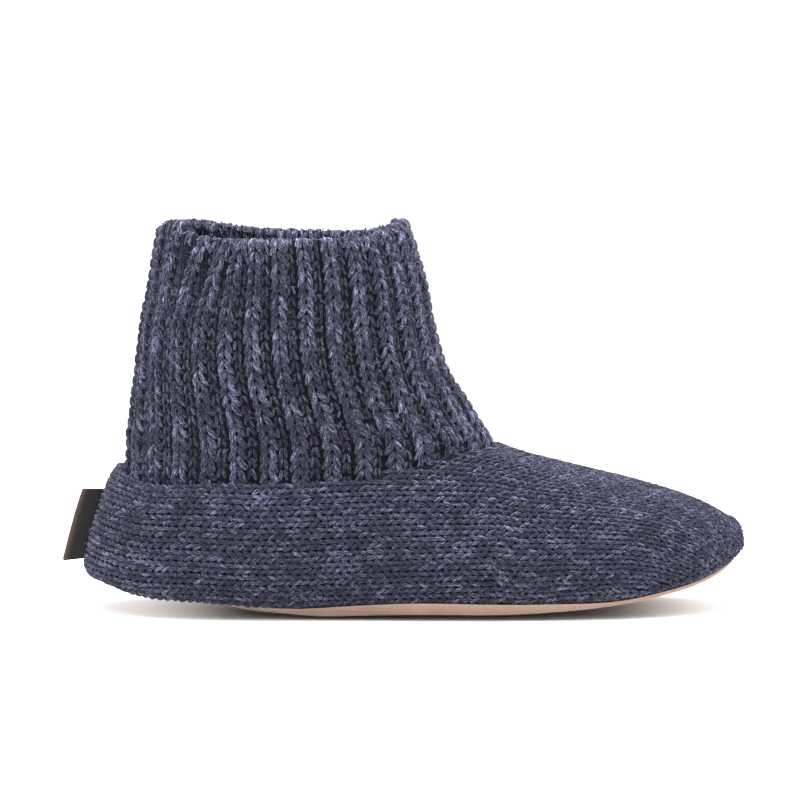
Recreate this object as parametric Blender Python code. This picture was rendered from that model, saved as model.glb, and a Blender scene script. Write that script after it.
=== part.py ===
"""Knitted slipper boot for the right foot, empty and standing on its sole.

+X runs from heel to toe, +Y to the inner side of the foot, +Z up. The sole rests on z = 0.
"""

import bmesh
import bpy
import numpy as np

# Driving sizes, in metres
FOOT_LENGTH = 0.2700
BALL_WIDTH = 0.0980
INSTEP_HEIGHT = 0.0687
BOOT_HEIGHT = 0.1590
CUFF_WIDTH = 0.0880

UPPER_WALL = 0.0032
SOLE_THICKNESS = 0.0036
SOLE_ROUNDING = 0.0011
SOLE_ROLL = 0.0050
TOE_SPRING = 0.0220
INSOLE_THICKNESS = 0.0030
INSOLE_ROUNDING = 0.0006
SEWN_MARGIN = 0.0050
PIECE_GAP = 0.0003

CUFF_WALL = 0.0042
HEM_WALL = 0.0064
HEM_HEIGHT = 0.0080
CUFF_TUCK = 0.0045
RIB_COUNT = 30
RIB_DEPTH = 0.0012

TAB_REACH = 0.0088
TAB_THICKNESS = 0.0016
TAB_LOW = 0.0205
TAB_HIGH = 0.0488

# The foot from heel to toe. Stations are shares of a half turn, so they crowd at both ends.
# Widths and centre are shares of BALL_WIDTH, heights of INSTEP_HEIGHT, shifts of FOOT_LENGTH.
FOOT_COLUMNS = (
    "station", "half_width", "centre", "sole_outer", "sole_inner", "sole_shift",
    "top_shift", "widest", "bulge", "lean", "fullness",
)
FOOT_SECTIONS = (
    (0.0, 0.000, 0.000, 0.000, 0.000, 0.042, 0.0633, 0.28, 0.055, 0.58, 3.0),
    (0.1, 0.232, 0.000, 0.150, 0.150, 0.028, 0.0633, 0.29, 0.070, 0.55, 3.0),
    (0.2, 0.392, 0.000, 0.300, 0.296, 0.012, 0.0450, 0.32, 0.095, 0.50, 3.0),
    (0.3, 0.458, -0.004, 0.368, 0.356, 0.000, 0.0220, 0.34, 0.095, 0.45, 3.0),
    (0.4, 0.474, -0.010, 0.394, 0.362, 0.000, 0.0070, 0.35, 0.050, 0.40, 2.8),
    (0.5, 0.484, -0.008, 0.422, 0.384, 0.000, 0.0000, 0.35, 0.008, 0.30, 2.4),
    (0.6, 0.496, 0.008, 0.452, 0.436, 0.000, 0.0000, 0.33, 0.008, 0.12, 2.15),
    (0.7, 0.466, 0.030, 0.430, 0.424, 0.000, 0.0000, 0.31, 0.030, 0.04, 2.1),
    (0.8, 0.368, 0.048, 0.340, 0.340, -0.004, -0.0040, 0.33, 0.036, 0.00, 2.1),
    (0.9, 0.205, 0.060, 0.188, 0.188, -0.010, -0.0160, 0.365, 0.025, 0.00, 2.1),
    (1.0, 0.000, 0.064, 0.000, 0.000, -0.0165, -0.0300, 0.395, 0.010, 0.00, 2.1),
)

# Underside of the sole: share of FOOT_LENGTH, share of TOE_SPRING
UNDERSIDE = (
    (0.040, 0.56), (0.080, 0.40), (0.120, 0.315), (0.160, 0.26), (0.200, 0.195), (0.252, 0.080),
    (0.297, 0.018), (0.327, 0.0), (0.600, 0.0), (0.660, 0.022), (0.700, 0.055), (0.749, 0.100),
    (0.809, 0.180), (0.870, 0.335), (0.900, 0.43), (0.930, 0.55), (0.960, 0.715), (0.984, 0.90),
)

# Line where the cuff leaves the foot: share of FOOT_LENGTH, share of INSTEP_HEIGHT
COLLAR_LINE = (
    (0.0633, 0.865), (0.075, 0.815), (0.092, 0.780), (0.140, 0.772), (0.220, 0.780),
    (0.304, 0.777), (0.357, 0.790), (0.432, 0.835), (0.472, 0.872), (0.511, 0.902),
    (0.550, 0.950), (0.597, 0.980), (0.6185, 0.997),
)

# Ridge of the foot in front of the cuff, in the same shares
INSTEP_LINE = (
    (0.6185, 0.997), (0.659, 0.938), (0.719, 0.876), (0.779, 0.819), (0.840, 0.758),
    (0.900, 0.686), (0.930, 0.640), (0.954, 0.590), (0.970, 0.550),
)

# The cuff from collar to rim: share of BOOT_HEIGHT, back and front as shares of FOOT_LENGTH,
# and its width as a share of CUFF_WIDTH
CUFF_COLUMNS = ("height", "back", "front", "width")
CUFF_SECTIONS = (
    (0.30, 0.0633, 0.6185, 0.965),
    (0.43, 0.0645, 0.6170, 0.965),
    (0.49, 0.0692, 0.5960, 0.972),
    (0.54, 0.0722, 0.5790, 0.980),
    (0.59, 0.0768, 0.5590, 0.990),
    (0.64, 0.0800, 0.5450, 1.000),
    (0.74, 0.0874, 0.5292, 1.010),
    (0.84, 0.0990, 0.5180, 1.010),
    (0.92, 0.1070, 0.5040, 1.000),
    (1.00, 0.1130, 0.4930, 0.985),
)

# The soft rim all round: share of a full turn from the back over the outer side, height
# as a share of BOOT_HEIGHT
RIM_LINE = (
    (0.00, 0.997), (0.06, 1.000), (0.14, 0.978), (0.25, 0.962), (0.36, 0.966), (0.45, 0.994),
    (0.50, 0.999), (0.55, 0.986), (0.66, 0.955), (0.78, 0.964), (0.90, 0.987), (1.00, 0.997),
)

# Where the rolled edge round the ankle fades into the arch of the instep
ROLL_FADE = (0.36, 0.60)

# Smallest half width, and smallest angle up a section, that the arch is worked out for
LEAST_HALF = 0.0001
LEAST_CUT = 0.05

# How far each point across a rib stands back: a deep groove, a crest, and a dip beside it
RIB_PROFILE = (1.0, 0.0, 0.1, 0.45)

# The folded hem over the rim: share of HEM_WALL inward, share of HEM_HEIGHT below the rim
HEM_PROFILE = ((0.02, 0.75), (0.10, 0.40), (0.27, 0.12), (0.50, 0.0), (0.78, 0.12), (1.00, 0.45))

# The wall inside the cuff, as shares of its height from under the hem down to the collar
INSIDE_RINGS = (0.8, 0.5, 0.2, 0.0)

COLLAR_SQUARENESS = 2.15
MARGIN_ROWS = 2
SIDE_ROWS = 3
CROWN_ROWS = 7
ANKLE_STATIONS = 22
TOE_STATIONS = 13
CUFF_ROWS = 9
TAB_ROWS = 6

# Share of a rounding that its corner point lies back
CORNER_SHARE = 0.3

STATION_STEP = 0.004
MERGE_DISTANCE = 0.00002
SHARP_ANGLE = 0.7

NAVY = (0.045, 0.055, 0.115, 1.0)
SUEDE = (0.52, 0.36, 0.26, 1.0)
FLEECE = (0.10, 0.11, 0.17, 1.0)
BLACK = (0.012, 0.012, 0.013, 1.0)


def smooth(rows, where):
    """Value of a table at a place, on a smooth line that never overshoots its rows."""
    places, values = np.array(rows, dtype=float).T
    steps = np.diff(places)
    slopes = np.diff(values) / steps
    bends = np.zeros(len(places))
    bends[0], bends[-1] = slopes[0], slopes[-1]
    for i in range(1, len(places) - 1):
        if slopes[i - 1] * slopes[i] > 0:
            before = 2 * steps[i] + steps[i - 1]
            after = steps[i] + 2 * steps[i - 1]
            bends[i] = (before + after) / (before / slopes[i - 1] + after / slopes[i])
    where = np.clip(where, places[0], places[-1])
    i = int(np.clip(np.searchsorted(places, where) - 1, 0, len(steps) - 1))
    u = (where - places[i]) / steps[i]
    return (
        values[i] * (1 + 2 * u) * (1 - u) ** 2
        + values[i + 1] * u * u * (3 - 2 * u)
        + steps[i] * u * (1 - u) * (bends[i] * (1 - u) - bends[i + 1] * u)
    )


def column(sections, names, name, where):
    """One named column of a table of sections, at a place between its rows."""
    k = names.index(name)
    return smooth([(row[0], row[k]) for row in sections], where)


def foot(name, station):
    return column(FOOT_SECTIONS, FOOT_COLUMNS, name, station)


def cuff(name, height):
    return column(CUFF_SECTIONS, CUFF_COLUMNS, name, height / BOOT_HEIGHT)


def along(station):
    """Distance from the back of the heel at a station, before any shift."""
    return FOOT_LENGTH * (1 - np.cos(np.pi * station)) / 2


def heel_back():
    """The frame's origin is midway between the heel tab's edge and the toe."""
    tab_edge = tab_root(TAB_LOW) - TAB_REACH
    return -(FOOT_LENGTH + tab_edge) / 2


def collar_front_station():
    share = COLLAR_LINE[-1][0]
    return np.arccos(1 - 2 * share) / np.pi


def underside(x):
    return TOE_SPRING * smooth(UNDERSIDE, x / FOOT_LENGTH)


def sole_point(station, side):
    """Edge of the sole's plan; side is -1 on the outer side of the foot and 1 on the inner."""
    name = "sole_inner" if side > 0 else "sole_outer"
    x = along(station) + FOOT_LENGTH * foot("sole_shift", station)
    y = BALL_WIDTH * (foot("centre", station) + side * foot(name, station))
    return np.array([x, y])


def widest_point(station, side):
    """Edge of the knitted foot's plan, where it bulges widest."""
    y = BALL_WIDTH * (foot("centre", station) + side * foot("half_width", station))
    return np.array([along(station), y])


def inset_point(outline, station, side, distance):
    """A point of an outline moved square to it, into the foot."""
    near, far = station - STATION_STEP, station + STATION_STEP
    if near < 0:
        return outline(station, side) + (distance, 0.0)
    if far > 1:
        return outline(station, side) - (distance, 0.0)
    direction = outline(far, side) - outline(near, side)
    direction /= np.linalg.norm(direction)
    inward = np.array([direction[1], -direction[0]]) * side
    return outline(station, side) + distance * inward


def collar_half_width(x):
    """Half of the cuff's width where it leaves the foot, at a distance from the heel."""
    back, front = COLLAR_LINE[0][0], COLLAR_LINE[-1][0]
    middle = (back + front) / 2
    reach = min(abs(x / FOOT_LENGTH - middle) / (front - middle), 1.0)
    half = CUFF_WIDTH * CUFF_SECTIONS[0][-1] / 2
    return half * (1 - reach ** COLLAR_SQUARENESS) ** (1 / COLLAR_SQUARENESS)


def collar_centre():
    return BALL_WIDTH * foot("centre", collar_front_station())


def top_point(station, side):
    """Upper edge of a section: the collar line at the ankle, the foot's ridge before it."""
    x = along(station) + FOOT_LENGTH * foot("top_shift", station)
    if station < collar_front_station():
        y = collar_centre() + side * collar_half_width(x)
        height = smooth(COLLAR_LINE, x / FOOT_LENGTH)
    else:
        y = BALL_WIDTH * foot("centre", station)
        height = smooth(INSTEP_LINE, x / FOOT_LENGTH)
    return np.array([x, y, INSTEP_HEIGHT * height])


def crown(turn, lean, fullness):
    """Rise and inward run of a section above its widest point, as shares of the whole."""
    rise = np.sin(turn) ** (2 / fullness)
    return rise, lean * rise + (1 - lean) * (1 - np.cos(turn) ** (2 / fullness))


def arch_cut(top_half, broad_half, lean, fullness):
    """Angle at which the collar cuts a section that would arch right over the foot."""
    turns = np.linspace(0, np.pi / 2, 181)
    inward = [crown(turn, lean, fullness)[1] for turn in turns]
    return max(np.interp(1 - top_half / max(broad_half, LEAST_HALF), inward, turns), LEAST_CUT)


def roll_share(x):
    """1 where the foot rolls over into the collar, 0 where it arches up the instep."""
    start, end = ROLL_FADE
    fade = np.clip((x / FOOT_LENGTH - start) / (end - start), 0.0, 1.0)
    return 1 - fade * fade * (3 - 2 * fade)


def foot_section(station, side, depth):
    """Points of one side of the knitted foot, from under its sole edge up to its top edge.

    depth is 0 on the outside and the wall's thickness on the inside.
    """
    start = inset_point(sole_point, station, side, SEWN_MARGIN)
    edge = inset_point(sole_point, station, side, 0.6 * depth)
    broad = inset_point(widest_point, station, side, depth)
    top = top_point(station, side)
    low = underside(sole_point(station, side)[0]) + SOLE_THICKNESS + PIECE_GAP + depth
    middle = INSTEP_HEIGHT * foot("widest", station)
    middle = max(middle, low + SOLE_THICKNESS)
    high = top[2] - depth
    bulge = INSTEP_HEIGHT * foot("bulge", station) if depth == 0 else 0.0
    lean, fullness = foot("lean", station), foot("fullness", station)
    roll = roll_share(top[0]) if station < collar_front_station() else 0.0
    ridge = np.array([top[0], BALL_WIDTH * foot("centre", station)])
    cut = arch_cut(abs(top[1] - ridge[1]), abs(broad[1] - ridge[1]), lean, fullness)

    points = [np.array([*(start + (edge - start) * k / MARGIN_ROWS), low])
              for k in range(MARGIN_ROWS)]
    points.append(np.array([*edge, low]))
    for k in range(1, SIDE_ROWS + 1):
        turn = np.pi / 2 * k / SIDE_ROWS
        flat = edge + (broad - edge) * np.sin(turn)
        height = low + (middle - low) * (1 - np.cos(turn)) - bulge * np.sin(2 * turn)
        points.append(np.array([*flat, height]))
    for k in range(1, CROWN_ROWS + 1):
        rise, inward = crown(np.pi / 2 * k / CROWN_ROWS, lean, fullness)
        rolled = np.array([*(broad + (top[:2] - broad) * inward), middle + (high - middle) * rise])
        part, whole = crown(cut * k / CROWN_ROWS, lean, fullness), crown(cut, lean, fullness)
        flat = broad + (top[:2] - broad) * part[1] / whole[1]
        arched = np.array([*flat, middle + (high - middle) * part[0] / whole[0]])
        points.append(roll * rolled + (1 - roll) * arched)
    return points


def foot_stations():
    """Stations of the foot's sections, close together where the collar closes in front."""
    front = collar_front_station()
    turns = np.pi * np.arange(ANKLE_STATIONS) / ANKLE_STATIONS
    ankle = list(front * (np.sin(turns / 2) / 2 + (1 - np.cos(turns)) / 4))
    toe = [front + (1 - front) * k / TOE_STATIONS for k in range(TOE_STATIONS + 1)]
    return ankle + toe


def round_trip(stations):
    """Stations and sides all round the foot, from the heel over the outer side."""
    outer = [(station, -1) for station in stations]
    inner = [(station, 1) for station in reversed(stations[1:-1])]
    return outer + inner


def material(name, colour, roughness):
    made = bpy.data.materials.new(name)
    made.use_nodes = True
    shader = made.node_tree.nodes["Principled BSDF"]
    shader.inputs["Base Color"].default_value = colour
    shader.inputs["Roughness"].default_value = roughness
    shader.inputs["Metallic"].default_value = 0.0
    return made


def place(name, bm, finish):
    """Finish a mesh as one closed body, set it in the frame and link it to the scene."""
    bmesh.ops.remove_doubles(bm, verts=bm.verts, dist=MERGE_DISTANCE)
    bmesh.ops.translate(bm, verts=bm.verts, vec=(heel_back(), 0, 0))
    bmesh.ops.recalc_face_normals(bm, faces=bm.faces)
    mesh = bpy.data.meshes.new(name)
    bm.to_mesh(mesh)
    bm.free()
    mesh.shade_smooth()
    mesh.set_sharp_from_angle(angle=SHARP_ANGLE)
    mesh.materials.append(finish)
    made = bpy.data.objects.new(name, mesh)
    bpy.context.scene.collection.objects.link(made)
    return made


def skin(bm, rings, closed):
    """Quads between neighbouring rows of points; closed joins each row's end to its start."""
    grid = [[bm.verts.new(point) for point in ring] for ring in rings]
    for low, high in zip(grid, grid[1:]):
        count = len(low)
        for k in range(count if closed else count - 1):
            after = (k + 1) % count
            bm.faces.new((low[k], low[after], high[after], high[k]))
    return grid


def join_rows(bm, one, other, closed):
    count = len(one)
    for k in range(count if closed else count - 1):
        after = (k + 1) % count
        bm.faces.new((one[k], other[k], other[after], one[after]))


def build_upper():
    """Knitted foot: one hollow wall, open at the collar and underneath."""
    trip = round_trip(foot_stations())
    front = collar_front_station()
    bm = bmesh.new()
    walls = []
    for depth in (0.0, UPPER_WALL):
        sections = [foot_section(station, side, depth) for station, side in trip]
        walls.append(skin(bm, list(zip(*sections)), closed=True))
    outside, inside = walls
    join_rows(bm, outside[0], inside[0], closed=True)
    collar = [k for k, (station, side) in enumerate(trip) if station <= front + 1e-9]
    first_inner = next(k for k in collar if trip[k][1] > 0)
    ring = [k for k in collar if k >= first_inner] + [k for k in collar if k < first_inner]
    join_rows(bm, [outside[-1][k] for k in ring], [inside[-1][k] for k in ring], closed=False)
    return place("upper", bm, material("navy_knit", NAVY, 0.95))


def slab(bm, inset, bottom_lift, thickness, rounding, roll):
    """Flat piece with the sole's plan that follows the underside from heel to toe.

    rounding is the height of its edges' roundings, and roll the width of the lower one.
    """
    stations = foot_stations()
    trip = round_trip(stations)
    corner = rounding * CORNER_SHARE
    profile = (
        (roll, 0.0), (roll * CORNER_SHARE, corner), (0.0, rounding),
        (0.0, thickness - rounding), (corner, thickness - corner), (rounding, thickness),
    )
    rings = []
    for inward, height in profile:
        ring = []
        for station, side in trip:
            x, y = inset_point(sole_point, station, side, inset + inward)
            ring.append((x, y, underside(x) + bottom_lift + height))
        rings.append(ring)
    grid = skin(bm, rings, closed=True)
    count = len(trip)
    for row in (grid[0], grid[-1]):
        for k in range(1, len(stations) - 2):
            bm.faces.new((row[k], row[k + 1], row[count - k - 1], row[count - k]))
        bm.faces.new((row[0], row[1], row[count - 1]))
        last = len(stations) - 1
        bm.faces.new((row[last - 1], row[last], row[last + 1]))


def build_outsole():
    """Thin suede sole with its arch, toe spring and curled heel."""
    bm = bmesh.new()
    slab(bm, 0.0, 0.0, SOLE_THICKNESS, SOLE_ROUNDING, SOLE_ROLL)
    return place("outsole", bm, material("tan_suede", SUEDE, 0.9))


def build_insole():
    """Soft footbed that fills the opening under the knitted foot."""
    bm = bmesh.new()
    inset, lift = SEWN_MARGIN + PIECE_GAP, SOLE_THICKNESS + PIECE_GAP
    slab(bm, inset, lift, INSOLE_THICKNESS, INSOLE_ROUNDING, INSOLE_ROUNDING)
    return place("insole", bm, material("navy_footbed", FLEECE, 1.0))


def squared(value):
    """Sine or cosine of an angle, pushed out to the cuff's slightly square oval."""
    return np.sign(value) * np.abs(value) ** (2 / COLLAR_SQUARENESS)


def even_turns(long_half, short_half, count):
    """Angles that part an oval into equal lengths, from the back over the outer side."""
    fine = np.linspace(0, 2 * np.pi, 1441)
    x, y = -long_half * squared(np.cos(fine)), -short_half * squared(np.sin(fine))
    run = np.concatenate([[0], np.cumsum(np.hypot(np.diff(x), np.diff(y)))])
    return np.interp(np.arange(count) * run[-1] / count, run, fine)


def oval_point(turn, height):
    """Point of the cuff's outside at an angle and height, and the direction out of it."""
    back, front = FOOT_LENGTH * cuff("back", height), FOOT_LENGTH * cuff("front", height)
    half = CUFF_WIDTH * cuff("width", height) / 2
    c, s = np.cos(turn), np.sin(turn)
    x = (back + front) / 2 - (front - back) / 2 * squared(c)
    y = collar_centre() - half * squared(s)
    out = np.array([-c * half, -s * (front - back) / 2])
    return np.array([x, y]), out / np.linalg.norm(out)


def cuff_ring(share, inset, drop, relief):
    """One ring of the cuff between the collar line and the rim, moved in and down."""
    count = RIB_COUNT * len(RIB_PROFILE)
    level = BOOT_HEIGHT * (CUFF_SECTIONS[0][0] + (1 - CUFF_SECTIONS[0][0]) * share)
    long_half = FOOT_LENGTH * (cuff("front", level) - cuff("back", level)) / 2
    turns = even_turns(long_half, CUFF_WIDTH * cuff("width", level) / 2, count)
    ring = []
    for k, turn in enumerate(turns):
        foot_x = oval_point(turn, BOOT_HEIGHT * CUFF_SECTIONS[0][0])[0][0]
        low = INSTEP_HEIGHT * smooth(COLLAR_LINE, foot_x / FOOT_LENGTH)
        high = BOOT_HEIGHT * smooth(RIM_LINE, k / count)
        height = low + (high - low) * share
        flat, out = oval_point(turn, height)
        groove = RIB_DEPTH * RIB_PROFILE[k % len(RIB_PROFILE)]
        flat = flat - out * (PIECE_GAP + inset + relief * groove)
        ring.append((flat[0], flat[1], height - drop))
    return ring


def build_shaft():
    """Ribbed cuff: a tube with a folded hem, tucked behind the foot's collar."""
    rings = [cuff_ring(0.0, 0.0, CUFF_TUCK, 0.0)]
    hem_share = 1 - HEM_HEIGHT / (BOOT_HEIGHT - INSTEP_HEIGHT)
    for k in range(CUFF_ROWS):
        rings.append(cuff_ring(hem_share * k / (CUFF_ROWS - 1), 0.0, 0.0, 1.0))
    for inward, drop in HEM_PROFILE:
        rings.append(cuff_ring(1.0, inward * HEM_WALL, drop * HEM_HEIGHT, 1.0 - inward))
    for share in (hem_share, *INSIDE_RINGS):
        rings.append(cuff_ring(share, CUFF_WALL, 0.0, 0.0))
    rings.append(cuff_ring(0.0, CUFF_WALL, CUFF_TUCK, 0.0))
    bm = bmesh.new()
    grid = skin(bm, rings, closed=True)
    join_rows(bm, grid[-1], grid[0], closed=True)
    return place("shaft", bm, material("navy_rib", NAVY, 0.95))


def tab_root(height):
    """Distance of the heel's back line from the heel's furthest point, at a height."""
    line = [(point[2], point[0]) for point in foot_section(0.0, -1, 0.0)[-CROWN_ROWS - 1:]]
    return np.interp(height, *zip(*line))


def build_heel_tab():
    """Folded tape sewn into the seam up the back of the heel, bare on both faces."""
    half = TAB_THICKNESS / 2
    rings = []
    for k in range(TAB_ROWS + 1):
        height = TAB_LOW + (TAB_HIGH - TAB_LOW) * k / TAB_ROWS
        root = tab_root(height) - PIECE_GAP
        edge = tab_root(height) - TAB_REACH
        rings.append([
            (root, -half, height), (edge + half, -half, height), (edge, 0.0, height),
            (edge + half, half, height), (root, half, height),
        ])
    bm = bmesh.new()
    grid = skin(bm, rings, closed=True)
    bm.faces.new(grid[0])
    bm.faces.new(grid[-1])
    return place("heel_tab", bm, material("black_tape", BLACK, 0.8))


def main():
    for old in list(bpy.data.objects):
        bpy.data.objects.remove(old, do_unlink=True)
    build_outsole()
    build_insole()
    build_upper()
    build_shaft()
    build_heel_tab()


main()
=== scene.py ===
"""Knitted slipper boot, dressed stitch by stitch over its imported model.

+X runs from heel to toe, +Y to the inner side of the foot, +Z up. The sole rests on z = 0.
Sizes are in metres. Tables hold shares of the named sizes, as the part's source does.
"""

import math

import bmesh
import bpy
import numpy as np
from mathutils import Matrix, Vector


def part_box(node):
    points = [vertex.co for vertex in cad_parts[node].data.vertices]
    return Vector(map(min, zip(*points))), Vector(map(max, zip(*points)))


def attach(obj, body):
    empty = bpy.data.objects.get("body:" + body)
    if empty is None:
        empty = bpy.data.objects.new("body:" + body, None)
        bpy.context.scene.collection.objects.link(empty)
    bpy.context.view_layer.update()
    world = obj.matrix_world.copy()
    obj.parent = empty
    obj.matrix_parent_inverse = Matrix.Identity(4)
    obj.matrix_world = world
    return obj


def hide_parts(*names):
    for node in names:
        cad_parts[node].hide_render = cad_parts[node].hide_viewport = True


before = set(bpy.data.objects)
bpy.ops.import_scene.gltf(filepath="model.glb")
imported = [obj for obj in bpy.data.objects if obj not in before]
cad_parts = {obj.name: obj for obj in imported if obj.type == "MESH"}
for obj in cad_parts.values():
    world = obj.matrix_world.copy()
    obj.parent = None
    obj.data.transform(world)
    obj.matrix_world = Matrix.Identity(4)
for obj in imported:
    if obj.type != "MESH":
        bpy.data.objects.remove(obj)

bl_info = {
    "name": "Knitted Slipper Boot",
    "version": (1, 0, 0),
    "blender": (4, 5, 0),
    "location": "View3D > Sidebar > Slipper",
    "description": "Builds the knit, the suede sole, the footbed and the tape of a slipper boot",
    "category": "Add Mesh",
}

# Sizes shared with the solids
FOOT_LENGTH = 0.2700
BALL_WIDTH = 0.0980
INSTEP_HEIGHT = 0.0687
BOOT_HEIGHT = 0.1590
CUFF_WIDTH = 0.0880
UPPER_WALL = 0.0032
SOLE_THICKNESS = 0.0036
TOE_SPRING = 0.0220
INSOLE_THICKNESS = 0.0030
SEWN_MARGIN = 0.0050
PIECE_GAP = 0.0003
CUFF_WALL = 0.0042
HEM_WALL = 0.0064
HEM_HEIGHT = 0.0080
CUFF_TUCK = 0.0045
RIB_COUNT = 30
TAB_REACH = 0.0088
TAB_THICKNESS = 0.0016
TAB_LOW = 0.0205
TAB_HIGH = 0.0488
HEEL_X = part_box("upper")[0].x

# Sizes of the looks alone: how far the suede's edge curls in under the foot, how near the knit's
# lower edge it lies, and how far it reaches in behind it
SOLE_ROLL = 0.0140
SUEDE_CLEAR = 0.0010
SUEDE_TUCK = 0.0022

FOOTBED_ROUNDING = 0.0011

# Rings that close the faces of the sole and the footbed, and rings of a rounded edge
FACE_RINGS = 6
EDGE_RINGS = 5

# Points closer than this are one
MERGE_DISTANCE = 0.00001

# The foot from heel to toe. Stations are shares of a half turn, so they crowd at both ends.
# Widths and centre are shares of BALL_WIDTH, heights of INSTEP_HEIGHT, shifts of FOOT_LENGTH.
# Only the bulge differs from the solids: it is smaller, since the stitches fill it.
FOOT_COLUMNS = (
    "station", "half_width", "centre", "sole_outer", "sole_inner", "sole_shift",
    "top_shift", "widest", "bulge", "lean", "fullness",
)
FOOT_SECTIONS = (
    (0.0, 0.000, 0.000, 0.000, 0.000, 0.042, 0.0633, 0.28, 0.045, 0.58, 3.0),
    (0.1, 0.232, 0.000, 0.150, 0.150, 0.028, 0.0633, 0.29, 0.048, 0.55, 3.0),
    (0.2, 0.392, 0.000, 0.300, 0.296, 0.012, 0.0450, 0.32, 0.074, 0.50, 3.0),
    (0.3, 0.458, -0.004, 0.368, 0.356, 0.000, 0.0220, 0.34, 0.060, 0.45, 3.0),
    (0.4, 0.474, -0.010, 0.394, 0.362, 0.000, 0.0070, 0.35, 0.018, 0.40, 2.8),
    (0.5, 0.484, -0.008, 0.422, 0.384, 0.000, 0.0000, 0.35, 0.008, 0.30, 2.4),
    (0.6, 0.496, 0.008, 0.452, 0.436, 0.000, 0.0000, 0.33, 0.008, 0.12, 2.15),
    (0.7, 0.466, 0.030, 0.430, 0.424, 0.000, 0.0000, 0.31, 0.008, 0.04, 2.1),
    (0.8, 0.368, 0.048, 0.340, 0.340, -0.004, -0.0040, 0.33, 0.004, 0.00, 2.1),
    (0.9, 0.205, 0.060, 0.188, 0.188, -0.010, -0.0160, 0.365, 0.002, 0.00, 2.1),
    (1.0, 0.000, 0.064, 0.000, 0.000, -0.0165, -0.0300, 0.395, 0.000, 0.00, 2.1),
)

# Underside of the sole: share of FOOT_LENGTH, share of TOE_SPRING. From 0.749 to 0.930 it is
# up to 1 mm higher than in the solids.
UNDERSIDE = (
    (0.040, 0.56), (0.080, 0.40), (0.120, 0.315), (0.160, 0.26), (0.200, 0.195), (0.252, 0.080),
    (0.297, 0.018), (0.327, 0.0), (0.600, 0.0), (0.660, 0.022), (0.700, 0.055), (0.749, 0.106),
    (0.809, 0.222), (0.870, 0.375), (0.900, 0.455), (0.930, 0.565), (0.960, 0.715), (0.984, 0.90),
)

# Line where the cuff leaves the foot: share of FOOT_LENGTH, share of INSTEP_HEIGHT
COLLAR_LINE = (
    (0.0633, 0.865), (0.075, 0.815), (0.092, 0.780), (0.140, 0.772), (0.220, 0.780),
    (0.304, 0.777), (0.357, 0.790), (0.432, 0.835), (0.472, 0.872), (0.511, 0.902),
    (0.550, 0.950), (0.597, 0.980), (0.6185, 0.997),
)

# Ridge of the foot in front of the cuff, in the same shares
INSTEP_LINE = (
    (0.6185, 0.997), (0.659, 0.938), (0.719, 0.876), (0.779, 0.819), (0.840, 0.758),
    (0.900, 0.686), (0.930, 0.640), (0.954, 0.590), (0.970, 0.550),
)

# The cuff from collar to rim: share of BOOT_HEIGHT, back and front as shares of FOOT_LENGTH,
# and its width as a share of CUFF_WIDTH
CUFF_COLUMNS = ("height", "back", "front", "width")
CUFF_SECTIONS = (
    (0.30, 0.0633, 0.6185, 0.965),
    (0.43, 0.0645, 0.6170, 0.965),
    (0.49, 0.0692, 0.5960, 0.972),
    (0.54, 0.0722, 0.5790, 0.980),
    (0.59, 0.0768, 0.5590, 0.990),
    (0.64, 0.0800, 0.5450, 1.000),
    (0.74, 0.0874, 0.5292, 1.010),
    (0.84, 0.0990, 0.5180, 1.010),
    (0.92, 0.1070, 0.5040, 1.000),
    (1.00, 0.1130, 0.4930, 0.985),
)

# The soft rim all round, a little lower at the back and the outer side than in the solids:
# share of a turn from the back over the outer side, share of BOOT_HEIGHT
RIM_LINE = (
    (0.00, 0.978), (0.04, 0.988), (0.085, 0.999), (0.125, 0.964), (0.17, 0.952), (0.27, 0.953),
    (0.36, 0.956), (0.45, 0.990), (0.50, 0.997), (0.55, 0.986), (0.66, 0.963), (0.78, 0.968),
    (0.90, 0.992), (0.96, 0.988), (1.00, 0.978),
)

# Where the rolled edge round the ankle fades into the arch of the instep
ROLL_FADE = (0.36, 0.60)

# Smallest half width, and smallest angle up a section, that the arch is worked out for
LEAST_HALF = 0.0001
LEAST_CUT = 0.05
COLLAR_SQUARENESS = 2.15

# Step along the stations that an outline's direction is taken over
STATION_STEP = 0.004

# Line inside the foot that its outside faces away from: share of INSTEP_HEIGHT, and how far it
# stays from both ends
CORE_HEIGHT = 0.35
CORE_ENDS = 0.03

# Station where the collar ends in front
COLLAR_FRONT = np.arccos(1 - 2 * COLLAR_LINE[-1][0]) / np.pi

# Steps up the cuff's outside, round its hem and down its inside, how far the hem's fold dips as a
# share of HEM_HEIGHT, and the gap left under the hem inside as a share of the cuff's wall
OUTSIDE_STEPS, HEM_STEPS, INSIDE_STEPS = 26, 12, 22
HEM_DIP = 0.45
HEM_GAP = 0.03

# Wales of one rib of the cuff: middle and width as shares of the rib, lift of the yarn
# as a share of its thickness, and how light it is as painted shade, darkest on the recessed wale for
# the shade in its groove
RIB_WALES = ((0.32, 0.57, 0.20, 0.97), (0.77, 0.36, -0.60, 0.63))

# Where up the cuff its ribs start to level out towards the rim, and by what share they do
LEVEL_START = 0.93
RIM_LEVELLING = 0.6

# How light the yarn is painted up the cuff, with a painted highlight towards the rim where the light
# from above falls, and the painted shade of the foot's yarn
RIM_PAINTED_LIGHT = ((0.0, 1.0), (0.80, 1.0), (0.93, 1.12), (1.0, 1.45))
FOOT_PAINTED_SHADE = 0.87

# How far the cloth under the ribs stands back, over one rib: share of the rib, share of depth
RIB_RELIEF = ((0.0, 1.0), (0.07, 0.7), (0.2, 0.1), (0.45, 0.1), (0.62, 0.7), (0.9, 0.8), (1.0, 1.0))

# Ribs pulled forward near the rim: share of a turn, how many ribs, reach as a share of a turn
RIB_LEANS = ((0.13, 1.10, 0.060), (0.90, -0.35, 0.06), (0.42, -0.25, 0.05))
LEAN_START = 0.52

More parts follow.
